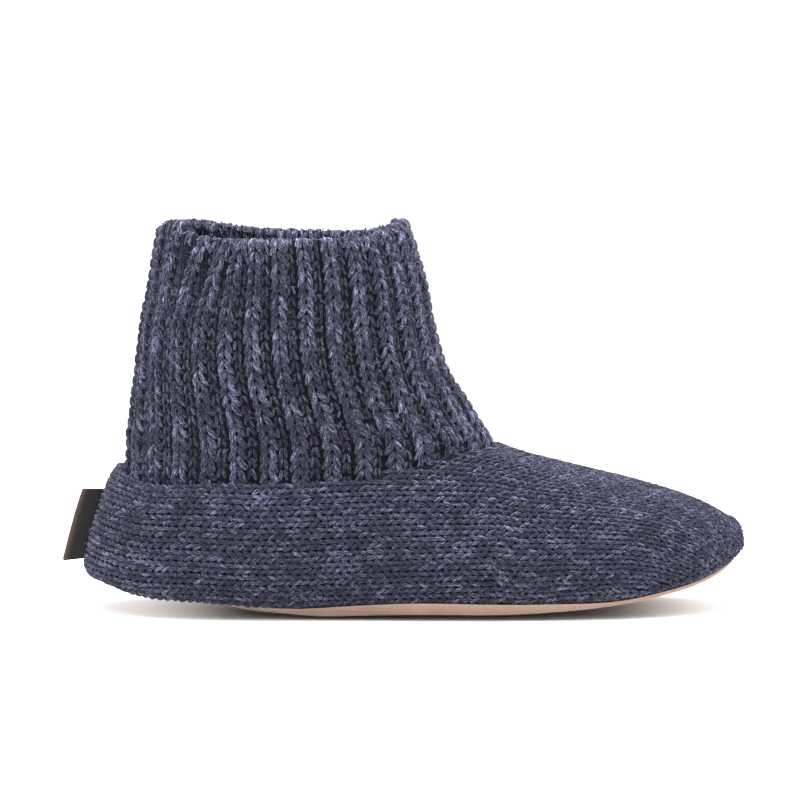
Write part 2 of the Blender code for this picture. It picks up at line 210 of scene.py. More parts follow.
# Middle of the cuff as a share of FOOT_LENGTH, and points round it in one rib
CUFF_MIDDLE = 0.32
RIB_POINTS = 12

# Suede wrapped up round the foot's lower edge: share of FOOT_LENGTH, height above the sole
WRAP = (
    (0.19, 0.0), (0.25, 0.0006), (0.327, 0.0010), (0.42, 0.0026), (0.508, 0.0036), (0.60, 0.0032),
    (0.689, 0.0024), (0.78, 0.0010), (0.86, 0.0005), (1.0, 0.0003),
)

# Share of the sole's thickness left towards the toe, by share of FOOT_LENGTH
THINNING = ((0.62, 1.0), (0.749, 0.82), (0.809, 0.55), (0.870, 0.50), (0.930, 0.54), (1.0, 0.56))

# Height of the sole's edge that is rolled under: share of FOOT_LENGTH, height
ROLLED_UNDER = (
    (0.20, 0.0028), (0.297, 0.0030), (0.358, 0.0019), (0.508, 0.0028), (0.689, 0.0026),
    (0.78, 0.0020), (0.84, 0.0013), (0.90, 0.0011),
)

# Width and length of a plain stitch along the foot: share of FOOT_LENGTH, share of the setting
FINER_WALES = ((0.0, 1.0), (0.60, 1.0), (0.75, 0.90), (0.88, 0.78), (1.0, 0.70))
FINER_COURSES = ((0.0, 0.97), (0.35, 0.97), (0.55, 1.0), (0.80, 0.98), (1.0, 0.90))

# Where a row of stitches starts to follow the sole's edge, as a share of FOOT_LENGTH, its height
# as a share of a stitch's width, and its stitches' width as a share of the others'
EDGE_ROW_START = 0.66
EDGE_ROW_HEIGHT = 0.36
EDGE_ROW_WIDTH = 0.8

# Share of FOOT_LENGTH behind which the lowest row of stitches is hidden under the curled heel.
# The cloth there lies this share of its depth down in its lowest rows, this far above the sole
CURLED_HEEL = 0.235
CURLED_DEPTH = 0.5
CURLED_ROWS = 12
CURLED_CLEAR = 0.0008

# Rows kept free above the sole's edge: over the edge row, over the curled heel, elsewhere
FREE_ROWS = (0.8, 1.1, 0.4)

# How far the stitches sink in at the sole's edge, by share of FOOT_LENGTH, and how far up
EDGE_SINK = ((0.0, 0.0010), (0.70, 0.0010), (0.86, 0.0002), (1.0, 0.0002))
EDGE_REACH = 0.0030

# How deep a stitch's middle lies under the knit's outside, as shares of the yarn's thickness
FOOT_SINK, CUFF_SINK = 0.42, 0.45

# Pieces of the foot's knit from heel to toe, and the share of FOOT_LENGTH where each ends
FOOT_ZONES = (("heel_stitches", 0.33), ("instep_stitches", 0.60), ("toe_stitches", 2.0))

# Stops of one leg of a stitch: shares of the course, the wale and the yarn
LEG_PATH = ((-0.20, 0.08, -0.62), (0.20, 0.13, 0.34), (0.72, 0.30, 0.40), (1.22, 0.44, -0.72))

# Stops of a stray fibre, as shares of its length
HAIR_PATH = ((0.0, 0.0, -0.1), (0.15, 0.1, 0.25), (0.55, -0.15, 0.30), (0.9, 0.2, 0.22))

# Soft troughs and ridges: side of the foot, share of FOOT_LENGTH, share of BOOT_HEIGHT,
# reach along and up in the same shares, lift in metres. They fade out over the middle line
CREASE_FADE = 0.008
CREASES = (
    (-1, 0.12, 0.40, 0.10, 0.020, -0.0008), (-1, 0.30, 0.36, 0.16, 0.030, 0.0008),
    (-1, 0.42, 0.50, 0.09, 0.030, -0.0012), (-1, 0.22, 0.60, 0.10, 0.050, 0.0010),
    (-1, 0.36, 0.72, 0.07, 0.060, -0.0009), (-1, 0.15, 0.80, 0.05, 0.050, -0.0008),
    (-1, 0.62, 0.26, 0.09, 0.050, -0.0009), (-1, 0.78, 0.22, 0.08, 0.050, 0.0007),
    (1, 0.14, 0.42, 0.09, 0.020, -0.0010), (1, 0.33, 0.38, 0.14, 0.030, 0.0009),
    (1, 0.40, 0.53, 0.08, 0.040, -0.0011), (1, 0.24, 0.66, 0.09, 0.050, 0.0009),
    (1, 0.60, 0.28, 0.08, 0.040, -0.0010), (1, 0.74, 0.20, 0.09, 0.050, 0.0008),
)

# The tape: steps up it, how far it sways to one side, how far its near layer hangs lower, and the
# angle past which its edges are sharp
TAPE_STEPS = 28
TAPE_SWAY = 0.0006
TAPE_STEP = 0.0011
TAPE_SHARP = 0.9

# Lamps: name, place, aim, size, share of the key lamp's power
LAMPS = (
    ("key_lamp", (-0.40, -0.75, 1.2), (0.0, 0.0, 0.06), 0.9, 0.5),
    ("top_lamp", (0.02, 0.06, 1.3), (0.0, 0.0, 0.05), 0.8, 2.5),
)

# The floor is painted with a glow past both ends of the sole, which lightens the shadows there: its
# middle, and where the glow starts and is full on either side
GLOW_MIDDLE = 0.010
GLOW_FADE = (0.070, 0.125)

# The photograph: its side in pixels, the size of a pixel at the boot, and the pixels of the
# view's aim, of the heel and of the floor. The sole's near edge hangs a little over the floor line
PICTURE, PIXEL = 800, 0.000407
AIM_AT, HEEL_AT, FLOOR_AT, EDGE_DROP = 415, 83, 616, 0.0029
SENSOR = 36.0


# Settings that a user would change

def length(label, about, value, least=0.0001, most=0.05):
    return bpy.props.FloatProperty(
        name=label, description=about, default=value, min=least, max=most, unit="LENGTH",
        precision=5)


def share(label, about, value):
    return bpy.props.FloatProperty(
        name=label, description=about, default=value, min=0.0, max=1.0, subtype="FACTOR")


def tint(label, about, value):
    return bpy.props.FloatVectorProperty(
        name=label, description=about, default=value, size=4, min=0.0, max=1.0, subtype="COLOR")


class KnitSettings(bpy.types.PropertyGroup):
    """Sizes and colours of the yarn and its stitches."""
    course: length("Course length", "Length of a plain stitch along the foot", 0.0034)
    wale: length("Wale width", "Width of a plain stitch across the foot", 0.0046)
    yarn: length("Yarn thickness", "Thickness of one leg of a stitch", 0.0018)
    rib_course: length("Rib course", "Height of a stitch of the cuff", 0.00435)
    bed: length("Bed depth", "How far the cloth lies under the crests of the yarn", 0.0012)
    slack: share("Slack", "How much one stitch differs from the next", 0.14)
    seed: bpy.props.IntProperty(name="Seed", description="Seed of the slack", default=11)
    hair: length("Hair length", "Longest stray fibre", 0.0042)
    hair_width: length("Hair width", "Thickness of a stray fibre", 0.00011, 0.00001)
    hairs: bpy.props.FloatProperty(
        name="Hairs", description="Stray fibres on a square metre", default=120000.0, min=0.0)
    deep: tint("Deep navy", "Darkest fibres of the yarn", (0.0019, 0.0020, 0.0048, 1.0))
    body: tint("Navy", "Main fibres of the yarn", (0.0100, 0.0104, 0.0262, 1.0))
    middle: tint("Slate", "Middle fibres of the yarn", (0.031, 0.032, 0.070, 1.0))
    fleck: tint("Fleck", "Pale fibres spun into the yarn", (0.36, 0.36, 0.55, 1.0))


class SoleSettings(bpy.types.PropertyGroup):
    """Finish of the suede sole and the footbed."""
    suede: tint("Suede", "Middle colour of the suede", (0.31, 0.212, 0.168, 1.0))
    worn: tint("Worn suede", "Colour where the nap is pressed", (0.22, 0.145, 0.112, 1.0))
    rounding: length("Edge rounding", "Rounding of the suede's cut edge", 0.0005)
    waver: length("Edge waver", "How far the cut edge wavers", 0.0002, 0.0)
    fleece: tint("Fleece", "Colour of the footbed's brushed face", (0.075, 0.083, 0.135, 1.0))
    loft: length("Footbed loft", "How far the footbed crowns in its middle", 0.0009)


class TapeSettings(bpy.types.PropertyGroup):
    """Finish of the folded tape at the heel."""
    tape: tint("Tape", "Colour of the woven tape", (0.0050, 0.0040, 0.0038, 1.0))
    fold: tint("Fold", "Colour of the tape where it is folded and rubbed", (0.060, 0.036, 0.028, 1.0))
    layer: length("Layer", "Thickness of one layer of the tape", 0.0005)
    rib: length("Weave", "Width of one rib of the weave", 0.00042)


class StageSettings(bpy.types.PropertyGroup):
    """Floor, lights and camera."""
    distance: length("Distance", "From the camera to the middle of the boot", 1.6, 0.1, 10.0)
    rise: bpy.props.FloatProperty(
        name="Rise", description="Angle of the camera above the floor",
        default=math.radians(4.0), subtype="ANGLE")
    floor: tint("Floor", "Colour of the floor", (0.76, 0.76, 0.76, 1.0))
    # Painted glow of the floor past both ends of the sole, which lightens the shadows there
    glow: share("Glow", "Light of the lit table past the ends of the sole", 0.45)
    sky: bpy.props.FloatProperty(
        name="Sky", description="Strength of the light all round", default=1.35)
    key: bpy.props.FloatProperty(
        name="Key", description="Power of the large soft lamp", default=15.0, unit="POWER")


def settings(name):
    return getattr(bpy.context.scene, "slipper_" + name)


# Lines and surfaces of the boot, worked out as in the solids

def smooth(rows, where):
    """Value of a table at one place or many, on a smooth line that never overshoots its rows."""
    places, values = np.array(rows, dtype=float).T
    steps = np.diff(places)
    slopes = np.diff(values) / steps
    bends = np.zeros(len(places))
    bends[0], bends[-1] = slopes[0], slopes[-1]
    for i in range(1, len(places) - 1):
        if slopes[i - 1] * slopes[i] > 0:
            before = 2 * steps[i] + steps[i - 1]
            after = steps[i] + 2 * steps[i - 1]
            bends[i] = (before + after) / (before / slopes[i - 1] + after / slopes[i])
    where = np.clip(where, places[0], places[-1])
    i = np.clip(np.searchsorted(places, where) - 1, 0, len(steps) - 1)
    u = (where - places[i]) / steps[i]
    return (
        values[i] * (1 + 2 * u) * (1 - u) ** 2
        + values[i + 1] * u * u * (3 - 2 * u)
        + steps[i] * u * (1 - u) * (bends[i] * (1 - u) - bends[i + 1] * u)
    )


def running(steps):
    return np.concatenate([[0], np.cumsum(steps)])


def unit(vectors):
    return vectors / np.maximum(np.linalg.norm(vectors, axis=-1, keepdims=True), 1e-12)


def foot(name, station):
    k = FOOT_COLUMNS.index(name)
    return smooth([(row[0], row[k]) for row in FOOT_SECTIONS], station)


def cuff(name, height):
    k = CUFF_COLUMNS.index(name)
    return smooth([(row[0], row[k]) for row in CUFF_SECTIONS], height / BOOT_HEIGHT)


def along(station):
    return FOOT_LENGTH * (1 - np.cos(np.pi * station)) / 2


def underside(x):
    return TOE_SPRING * smooth(UNDERSIDE, x / FOOT_LENGTH)


def sole_height(x):
    return SOLE_THICKNESS * smooth(THINNING, x / FOOT_LENGTH)


def sole_point(station, side):
    """Edge of the sole's plan; side is -1 on the outer side of the foot and 1 on the inner."""
    name = "sole_inner" if side > 0 else "sole_outer"
    x = along(station) + FOOT_LENGTH * foot("sole_shift", station)
    return np.array([x, BALL_WIDTH * (foot("centre", station) + side * foot(name, station))])


def widest_point(station, side):
    y = BALL_WIDTH * (foot("centre", station) + side * foot("half_width", station))
    return np.array([along(station), y])


def inset_point(outline, station, side, distance):
    """A point of an outline moved square to it, into the foot."""
    near, far = station - STATION_STEP, station + STATION_STEP
    if near < 0:
        return outline(station, side) + (distance, 0.0)
    if far > 1:
        return outline(station, side) - (distance, 0.0)
    direction = outline(far, side) - outline(near, side)
    direction /= np.linalg.norm(direction)
    return outline(station, side) + distance * np.array([direction[1], -direction[0]]) * side


def collar_centre():
    return BALL_WIDTH * foot("centre", COLLAR_FRONT)


def top_point(station, side):
    """Upper edge of a section: the collar line at the ankle, the foot's ridge before it."""
    x = along(station) + FOOT_LENGTH * foot("top_shift", station)
    if station < COLLAR_FRONT:
        back, front = COLLAR_LINE[0][0], COLLAR_LINE[-1][0]
        middle = (back + front) / 2
        reach = min(abs(x / FOOT_LENGTH - middle) / (front - middle), 1.0)
        half = CUFF_WIDTH * CUFF_SECTIONS[0][-1] / 2
        half *= (1 - reach ** COLLAR_SQUARENESS) ** (1 / COLLAR_SQUARENESS)
        return np.array([x, collar_centre() + side * half,
                         INSTEP_HEIGHT * smooth(COLLAR_LINE, x / FOOT_LENGTH)])
    return np.array([x, BALL_WIDTH * foot("centre", station),
                     INSTEP_HEIGHT * smooth(INSTEP_LINE, x / FOOT_LENGTH)])


def crown(turn, lean, fullness):
    """Rise and inward run of a section above its widest point, as shares of the whole."""
    rise = np.sin(turn) ** (2 / fullness)
    return rise, lean * rise + (1 - lean) * (1 - np.cos(turn) ** (2 / fullness))


def foot_section(station, side, depth, side_rows=14, crown_rows=40):
    """Points of one side of the foot from its sole edge up to its top edge."""
    edge = inset_point(sole_point, station, side, 0.6 * depth)
    broad = inset_point(widest_point, station, side, depth)
    top = top_point(station, side)
    x = sole_point(station, side)[0]
    low = underside(x) + sole_height(x) + PIECE_GAP + depth
    middle = max(INSTEP_HEIGHT * foot("widest", station), low + SOLE_THICKNESS)
    high = top[2] - depth
    bulge = INSTEP_HEIGHT * foot("bulge", station) if depth == 0 else 0.0
    lean, fullness = foot("lean", station), foot("fullness", station)
    start, end = ROLL_FADE
    fade = np.clip((top[0] / FOOT_LENGTH - start) / (end - start), 0.0, 1.0)
    roll = 1 - fade * fade * (3 - 2 * fade) if station < COLLAR_FRONT else 0.0
    ridge = np.array([top[0], BALL_WIDTH * foot("centre", station)])
    fine = np.linspace(0, np.pi / 2, 181)
    reach = 1 - abs(top[1] - ridge[1]) / max(abs(broad[1] - ridge[1]), LEAST_HALF)
    cut = max(np.interp(reach, crown(fine, lean, fullness)[1], fine), LEAST_CUT)

    turn = np.linspace(0, np.pi / 2, side_rows + 1)[:-1, None]
    flat = edge + (broad - edge) * np.sin(turn)
    height = low + (middle - low) * (1 - np.cos(turn)) - bulge * np.sin(2 * turn)
    lower = np.hstack([flat, height])
    turn = np.linspace(0, np.pi / 2, crown_rows + 1)[:, None]
    rise, inward = crown(turn, lean, fullness)
    rolled = np.hstack([broad + (top[:2] - broad) * inward, middle + (high - middle) * rise])
    part, whole = crown(turn * cut / (np.pi / 2), lean, fullness), crown(cut, lean, fullness)
    arched = np.hstack([broad + (top[:2] - broad) * part[1] / whole[1],
                        middle + (high - middle) * part[0] / whole[0]])
    return np.vstack([lower, roll * rolled + (1 - roll) * arched])


def squared(value):
    return np.sign(value) * np.abs(value) ** (2 / COLLAR_SQUARENESS)


def even_turns(long_half, short_half, shares):
    """Angles at even shares of an oval's length, from the back over the outer side."""
    fine = np.linspace(0, 2 * np.pi, 1441)
    x, y = -long_half * squared(np.cos(fine)), -short_half * squared(np.sin(fine))
    run = running(np.hypot(np.diff(x), np.diff(y)))
    return np.interp(np.array(shares) * run[-1], run, fine)


def oval_points(turn, height):
    """Points of the cuff's outside at angles and heights, and the directions out of it."""
    back, front = FOOT_LENGTH * cuff("back", height), FOOT_LENGTH * cuff("front", height)
    half = CUFF_WIDTH * cuff("width", height) / 2
    c, s = np.cos(turn), np.sin(turn)
    x = (back + front) / 2 - (front - back) / 2 * squared(c)
    y = collar_centre() - half * squared(s)
    out = np.stack([-c * half, -s * (front - back) / 2], axis=-1)
    return np.stack([x, y], axis=-1), unit(out)


def cuff_ring(shares, rise, inset, drop):
    """A ring of the cuff between collar line and rim, moved in and down; points and outward."""
    low_share = CUFF_SECTIONS[0][0]
    level = BOOT_HEIGHT * (low_share + (1 - low_share) * rise)
    long_half = FOOT_LENGTH * (cuff("front", level) - cuff("back", level)) / 2
    turn = even_turns(long_half, CUFF_WIDTH * cuff("width", level) / 2, shares)
    foot_x = oval_points(turn, np.full(len(turn), BOOT_HEIGHT * low_share))[0][:, 0]
    low = INSTEP_HEIGHT * smooth(COLLAR_LINE, foot_x / FOOT_LENGTH)
    high = BOOT_HEIGHT * smooth(RIM_LINE, shares)
    height = low + (high - low) * rise
    flat, out = oval_points(turn, height)
    flat = flat - out * (PIECE_GAP + inset)
    return np.column_stack([flat, height - drop])


def cuff_stops():
    """Path over the cuff from its tuck, up the outside, over the hem and down the inside."""
    hem = 1 - HEM_HEIGHT / (BOOT_HEIGHT - INSTEP_HEIGHT)
    stops = [(0.0, 0.0, CUFF_TUCK)]
    stops += [(hem * k / OUTSIDE_STEPS, 0.0, 0.0) for k in range(OUTSIDE_STEPS + 1)]
    for k in range(HEM_STEPS + 1):
        turn = math.pi * k / HEM_STEPS
        stops.append((1.0, HEM_WALL * (1 - math.cos(turn)) / 2,
                      HEM_HEIGHT * HEM_DIP * (1 - math.sin(turn))))
    stops += [(hem * (1 - HEM_GAP - (1 - HEM_GAP) * k / INSIDE_STEPS), CUFF_WALL, 0.0)
              for k in range(INSIDE_STEPS + 1)]
    stops.append((0.0, CUFF_WALL, CUFF_TUCK))
    return stops


def crease(points, outward):
    """The listed troughs and ridges, pressed into a grid of points."""
    moved = points.copy()
    for side, x, z, reach_x, reach_z, lift in CREASES:
        away = ((points[..., 0] / FOOT_LENGTH - x) / reach_x) ** 2
        away += ((points[..., 2] / BOOT_HEIGHT - z) / reach_z) ** 2
        on_side = 1 / (1 + np.exp(-side * points[..., 1] / CREASE_FADE))
        moved += outward * (lift * np.exp(-away) * on_side)[..., None]
    return moved


def outward_of(grid, away_from):
    """Unit directions square to a grid, pointing away from a line of middles."""
    out = unit(np.cross(np.gradient(grid, axis=0), np.gradient(grid, axis=1)))
    flip = np.sum(out * (grid - away_from), axis=-1, keepdims=True) < 0
    return np.where(flip, -out, out)


def foot_grid(side, stations):
    """Outside of one half of the foot: stations by rows up the wall, and the way out of it."""
    grid = np.array([foot_section(s, side, 0.0) for s in stations])
    middle = grid.copy()
    middle[..., 1] = BALL_WIDTH * foot("centre", stations)[:, None]
    middle[..., 2] = INSTEP_HEIGHT * CORE_HEIGHT
    middle[..., 0] = np.clip(middle[..., 0], CORE_ENDS, FOOT_LENGTH - CORE_ENDS)
    out = outward_of(grid, middle)
    return crease(grid, out), out


def cuff_grid(shares):
    """The whole cuff: stops along its path by points round it, and the way out of the cloth."""
    grid = np.array([cuff_ring(shares, *stop) for stop in cuff_stops()])
    round_it = np.roll(grid, -1, axis=1) - np.roll(grid, 1, axis=1)
    out = unit(np.cross(round_it, np.gradient(grid, axis=0)))
    return crease(grid, out), out


# Rows of stitches

def step_lengths(line):
    return np.linalg.norm(np.diff(line, axis=0), axis=1)


def at_lengths(run, values, where):
    return np.stack([np.interp(where, run, values[:, k]) for k in range(values.shape[1])], axis=1)


def at_each(runs, values, where, picked):
    """Values at one place along each of the picked lines."""
    return np.array([at_lengths(runs[s], values[s], [where[s]])[0] for s in picked])


def row_of_stitches(line, out, pitch, origin, size):
    """Stitches along one line: place, way along, way out and size of each."""
    count = running(step_lengths(line) / ((pitch[1:] + pitch[:-1]) / 2))
    count -= count[origin]
    wanted = np.arange(math.ceil(count[0] + 0.3), math.floor(count[-1] - 0.3) + 1)
    if len(wanted) == 0:
        return []
    place = at_lengths(count, line, wanted)
    ahead = at_lengths(count, line, wanted + 0.25) - at_lengths(count, line, wanted - 0.25)
    return [np.hstack([place, unit(ahead), unit(at_lengths(count, out, wanted)),
                       at_lengths(count, size, wanted)])]


def foot_rows():
    """Every plain stitch of the foot, as rows of place, aim, outward, size and painted shade."""
    knit = settings("knit")
    stations = np.linspace(0.0, 1.0, 241)
    x = along(stations) / FOOT_LENGTH
    wide = knit.wale * smooth(FINER_WALES, x)
    course = knit.course * smooth(FINER_COURSES, x)
    origin_station = np.argmin(np.abs(x - 0.5))
    rows = []
    for side in (-1, 1):
        grid, out = foot_grid(side, stations)
        up = np.array([running(step_lengths(line)) for line in grid])
        sink = smooth(EDGE_SINK, x)[:, None] * np.exp(-(up / EDGE_REACH) ** 2)
        grid = grid - out * sink[..., None]
        half = up[:, -1]
        ahead = stations >= COLLAR_FRONT
        first = np.argmax(ahead)
        edge_count = round(half[first] / wide[first])
        wale = wide * half[first] / wide[first] / edge_count
        count = np.where(ahead[:, None], (half[:, None] - up) / wale[:, None],
                         edge_count - up / wale[:, None])
        # The last column is the painted shade of the foot's yarn
        size = np.column_stack([course / knit.course, wale / knit.wale,
                                (wale / knit.wale) ** 0.5, np.full(len(x), FOOT_PAINTED_SHADE)])

        cut = x > EDGE_ROW_START
        line = at_each(up, grid, EDGE_ROW_HEIGHT * wale, np.flatnonzero(cut))
        edge_size = size[cut] * (1.0, EDGE_ROW_WIDTH, 1.0, 1.0)
        edge_size[:, 2] = EDGE_ROW_WIDTH
        rows += row_of_stitches(line, out[cut, 2], course[cut], 0, edge_size)

        over_edge, over_heel, elsewhere = FREE_ROWS
        free = np.where(cut, over_edge, np.where(x < CURLED_HEEL, over_heel, elsewhere))
        for k in range(int(count.max()) + 1):
            wanted = np.full(len(x), k + 0.5)
            inside = (count[:, -1] + 0.12 <= wanted) & (wanted <= count[:, 0] - free)
            places = np.flatnonzero(inside)
            for run in np.split(places, np.flatnonzero(np.diff(places) > 1) + 1):
                if len(run) < 3:
                    continue
                line = at_each(-count, grid, -wanted, run)
                way = at_each(-count, out, -wanted, run)
                origin = int(np.argmin(np.abs(run - origin_station)))
                rows += row_of_stitches(line, way, course[run], origin, size[run])
    table = np.vstack(rows)
    table[:, 3:6] *= -1
    return table


def rib_lean(share_of, rises):
    """How many ribs a rib has moved forward at each height of the cuff."""
    high = np.clip((rises - LEAN_START) / (1 - LEAN_START), 0.0, 1.0) ** 2
    pull = sum(most * math.exp(-((share_of - place) / reach) ** 2)
               for place, most, reach in RIB_LEANS)
    return pull * high


def cuff_rows():
    """Every rib stitch of the cuff, from its foot over the hem and down inside."""
    knit = settings("knit")
    shares = np.arange(RIB_COUNT * RIB_POINTS) / (RIB_COUNT * RIB_POINTS)
    grid, out = cuff_grid(shares)
    grid, out = grid[:-1], out[:-1]
    ring = np.linalg.norm(np.diff(np.concatenate([grid, grid[:, :1]], axis=1), axis=1), axis=2)
    rib = ring.sum(axis=1) / RIB_COUNT
    stops = np.array(cuff_stops())[:-1]
    rises, outside = stops[:, 0], 1 - np.clip(stops[:, 1] / (0.6 * HEM_WALL), 0.0, 1.0)
    outside *= 1 - RIM_LEVELLING * np.clip((rises - LEVEL_START) / (1 - LEVEL_START), 0.0, 1.0)
    rows = []
    for k in range(RIB_COUNT):
        for middle, width, lift, light in RIB_WALES:
            where = RIB_POINTS * (k + middle + rib_lean((k + middle) / RIB_COUNT, rises))
            left, part = np.floor(where).astype(int) % len(shares), (where % 1)[:, None]
            right = (left + 1) % len(shares)
            level = np.arange(len(grid))
            line = grid[level, left] * (1 - part) + grid[level, right] * part
            way = unit(out[level, left] * (1 - part) + out[level, right] * part)
            line = line + way * (lift * outside * knit.yarn)[:, None]
            pitch = np.full(len(line), knit.rib_course)
            wide = rib * width / knit.wale
            # The last column is painted light: painted shade on the recessed wale, fading out over the
            # hem, times the painted highlight towards the rim
            size = np.column_stack([
                pitch / knit.course, wide, np.minimum(wide, 1.25),
                (1 - (1 - light) * outside) * smooth(RIM_PAINTED_LIGHT, rises)])
            rows += row_of_stitches(line, way, pitch, 0, size)
    table = np.vstack(rows)
    table[:, 3:6] *= -1
    return table


# Node building

def pick(sockets, key):
    for socket in sockets:
        if socket.identifier == key:
            return socket
    return sockets[key]


def fill(tree, made, inputs):
    """Set or link the inputs of a node."""
    for key, value in inputs.items():
        socket = made.inputs[key] if isinstance(key, int) else pick(made.inputs, key)
        if isinstance(value, bpy.types.NodeSocket):
            tree.links.new(value, socket)
        else:
            socket.default_value = value


def add(tree, kind, inputs=None, **choices):
    """One node with its choices made and its inputs set or linked."""
    made = tree.nodes.new(kind)
    for name, value in choices.items():
        setattr(made, name, value)
    fill(tree, made, inputs or {})
    return made


def math_node(tree, operation, *values):
    return add(tree, "ShaderNodeMath", dict(enumerate(values)), operation=operation).outputs[0]


def times(tree, one, other):
    return math_node(tree, "MULTIPLY", one, other)


def times_plus(tree, one, other, more):
    return math_node(tree, "MULTIPLY_ADD", one, other, more)


def vector_node(tree, operation, *values, **scale):
    inputs = dict(enumerate(values))
    inputs.update(scale)
    return add(tree, "ShaderNodeVectorMath", inputs, operation=operation).outputs[0]


def named(tree, name, data_type="FLOAT_VECTOR"):
    return add(tree, "GeometryNodeInputNamedAttribute", {"Name": name}, data_type=data_type).outputs[0]


def store(tree, geometry, name, value, data_type="FLOAT", domain="POINT"):
    return add(tree, "GeometryNodeStoreNamedAttribute",
               {"Geometry": geometry, "Name": name, "Value": value},
               data_type=data_type, domain=domain).outputs[0]


def new_tree(name, *numbers):
    """An empty geometry tree with its inputs, all set by grown, and its input and output nodes."""
    tree = bpy.data.node_groups.new(name, "GeometryNodeTree")
    kinds = {"Geometry": "Geometry", **dict.fromkeys(numbers, "Float"),
             "Seed": "Int", "Material": "Material"}
    for label, kind in kinds.items():
        tree.interface.new_socket(label, in_out="INPUT", socket_type="NodeSocket" + kind)
    tree.interface.new_socket("Geometry", in_out="OUTPUT", socket_type="NodeSocketGeometry")
    return tree, tree.nodes.new("NodeGroupInput").outputs, tree.nodes.new("NodeGroupOutput")


def finish_tree(tree, output, pieces, finish):
    """Join, realize, smooth and paint the pieces of a tree."""
    joined = add(tree, "GeometryNodeJoinGeometry")
    for piece in pieces:
        tree.links.new(piece, joined.inputs[0])
    real = add(tree, "GeometryNodeRealizeInstances", {"Geometry": joined.outputs[0]})
    soft = add(tree, "GeometryNodeSetShadeSmooth", {"Geometry": real.outputs[0]})
    painted = add(tree, "GeometryNodeSetMaterial", {"Geometry": soft.outputs[0], "Material": finish})
    tree.links.new(painted.outputs[0], output.inputs[0])


def random_vector(tree, spread, seed, middle=0.0):
    low = vector_node(tree, "SUBTRACT", (middle,) * 3, spread)
    high = vector_node(tree, "ADD", (middle,) * 3, spread)
    return pick(add(tree, "FunctionNodeRandomValue", {"Min": low, "Max": high, "Seed": seed},
                    data_type="FLOAT_VECTOR").outputs, "Value")


def bent_line(tree, stops, resolution, count):
    """A bent line through four stops that carries the share of its length at each point."""
    ends = [add(tree, "ShaderNodeCombineXYZ", dict(zip("XYZ", stop))).outputs[0] for stop in stops]
    bent = add(tree, "GeometryNodeCurvePrimitiveBezierSegment", {
        "Resolution": resolution, "Start": ends[0], "Start Handle": ends[1],
        "End Handle": ends[2], "End": ends[3]})
    line = add(tree, "GeometryNodeResampleCurve", {"Curve": bent.outputs[0], "Count": count})
    factor = add(tree, "GeometryNodeSplineParameter").outputs["Factor"]
    return store(tree, line.outputs[0], "along", factor)


def stitch_tree():
    """Two bent legs of yarn on every point: one knitted stitch."""
    tree, inputs, output = new_tree("knitted_stitches", "Course", "Wale", "Yarn", "Slack")
    radius = times(tree, inputs["Yarn"], 0.5)
    pieces = []
    for turn, hand in enumerate((-1, 1)):
        line = bent_line(tree, [
            (times(tree, inputs["Course"], a - 0.5), times(tree, inputs["Wale"], w * hand),
             times(tree, inputs["Yarn"], n)) for a, w, n in LEG_PATH], 8, 6)
        round_one = add(tree, "GeometryNodeCurvePrimitiveCircle", {"Resolution": 6, "Radius": radius})
        place = add(tree, "GeometryNodeInputPosition").outputs[0]
        ring = store(tree, round_one.outputs[0], "ring",
                     vector_node(tree, "NORMALIZE", place), "FLOAT_VECTOR")
        swell = math_node(tree, "SINE", times(tree, named(tree, "along", "FLOAT"), math.pi))
        swell = times_plus(tree, swell, 0.42, 0.58)
        leg = add(tree, "GeometryNodeCurveToMesh", {
            "Curve": line, "Profile Curve": ring, "Scale": swell, "Fill Caps": True}).outputs[0]
        seed = math_node(tree, "ADD", inputs["Seed"], 17.0 * turn)
        turned = add(tree, "FunctionNodeAxesToRotation", {
            "Primary Axis": named(tree, "out"), "Secondary Axis": named(tree, "aim")},
            primary_axis="Z", secondary_axis="X").outputs[0]
        lean = vector_node(tree, "SCALE", (0.55, 0.55, 0.85), Scale=inputs["Slack"])
        lean = add(tree, "FunctionNodeEulerToRotation", {"Euler": random_vector(tree, lean, seed)})
        turned = add(tree, "FunctionNodeRotateRotation", {
            "Rotation": turned, "Rotate By": lean.outputs[0]}, rotation_space="LOCAL").outputs[0]
        spread = vector_node(tree, "SCALE", (0.5, 0.5, 0.8), Scale=inputs["Slack"])
        uneven = random_vector(tree, spread, math_node(tree, "ADD", seed, 3.0), 1.0)
        size = vector_node(tree, "MULTIPLY", named(tree, "grow"), uneven)
        legs = add(tree, "GeometryNodeInstanceOnPoints", {
            "Points": inputs["Geometry"], "Instance": leg, "Rotation": turned, "Scale": size})
        tone = add(tree, "FunctionNodeRandomValue", {
            "Min_001": 0.0, "Max_001": 1.0, "Seed": math_node(tree, "ADD", seed, 5.0)},
            data_type="FLOAT")
        pieces.append(store(tree, legs.outputs[0], "tone", pick(tone.outputs, "Value_001"),
                            domain="INSTANCE"))
    finish_tree(tree, output, pieces, inputs["Material"])
    return tree


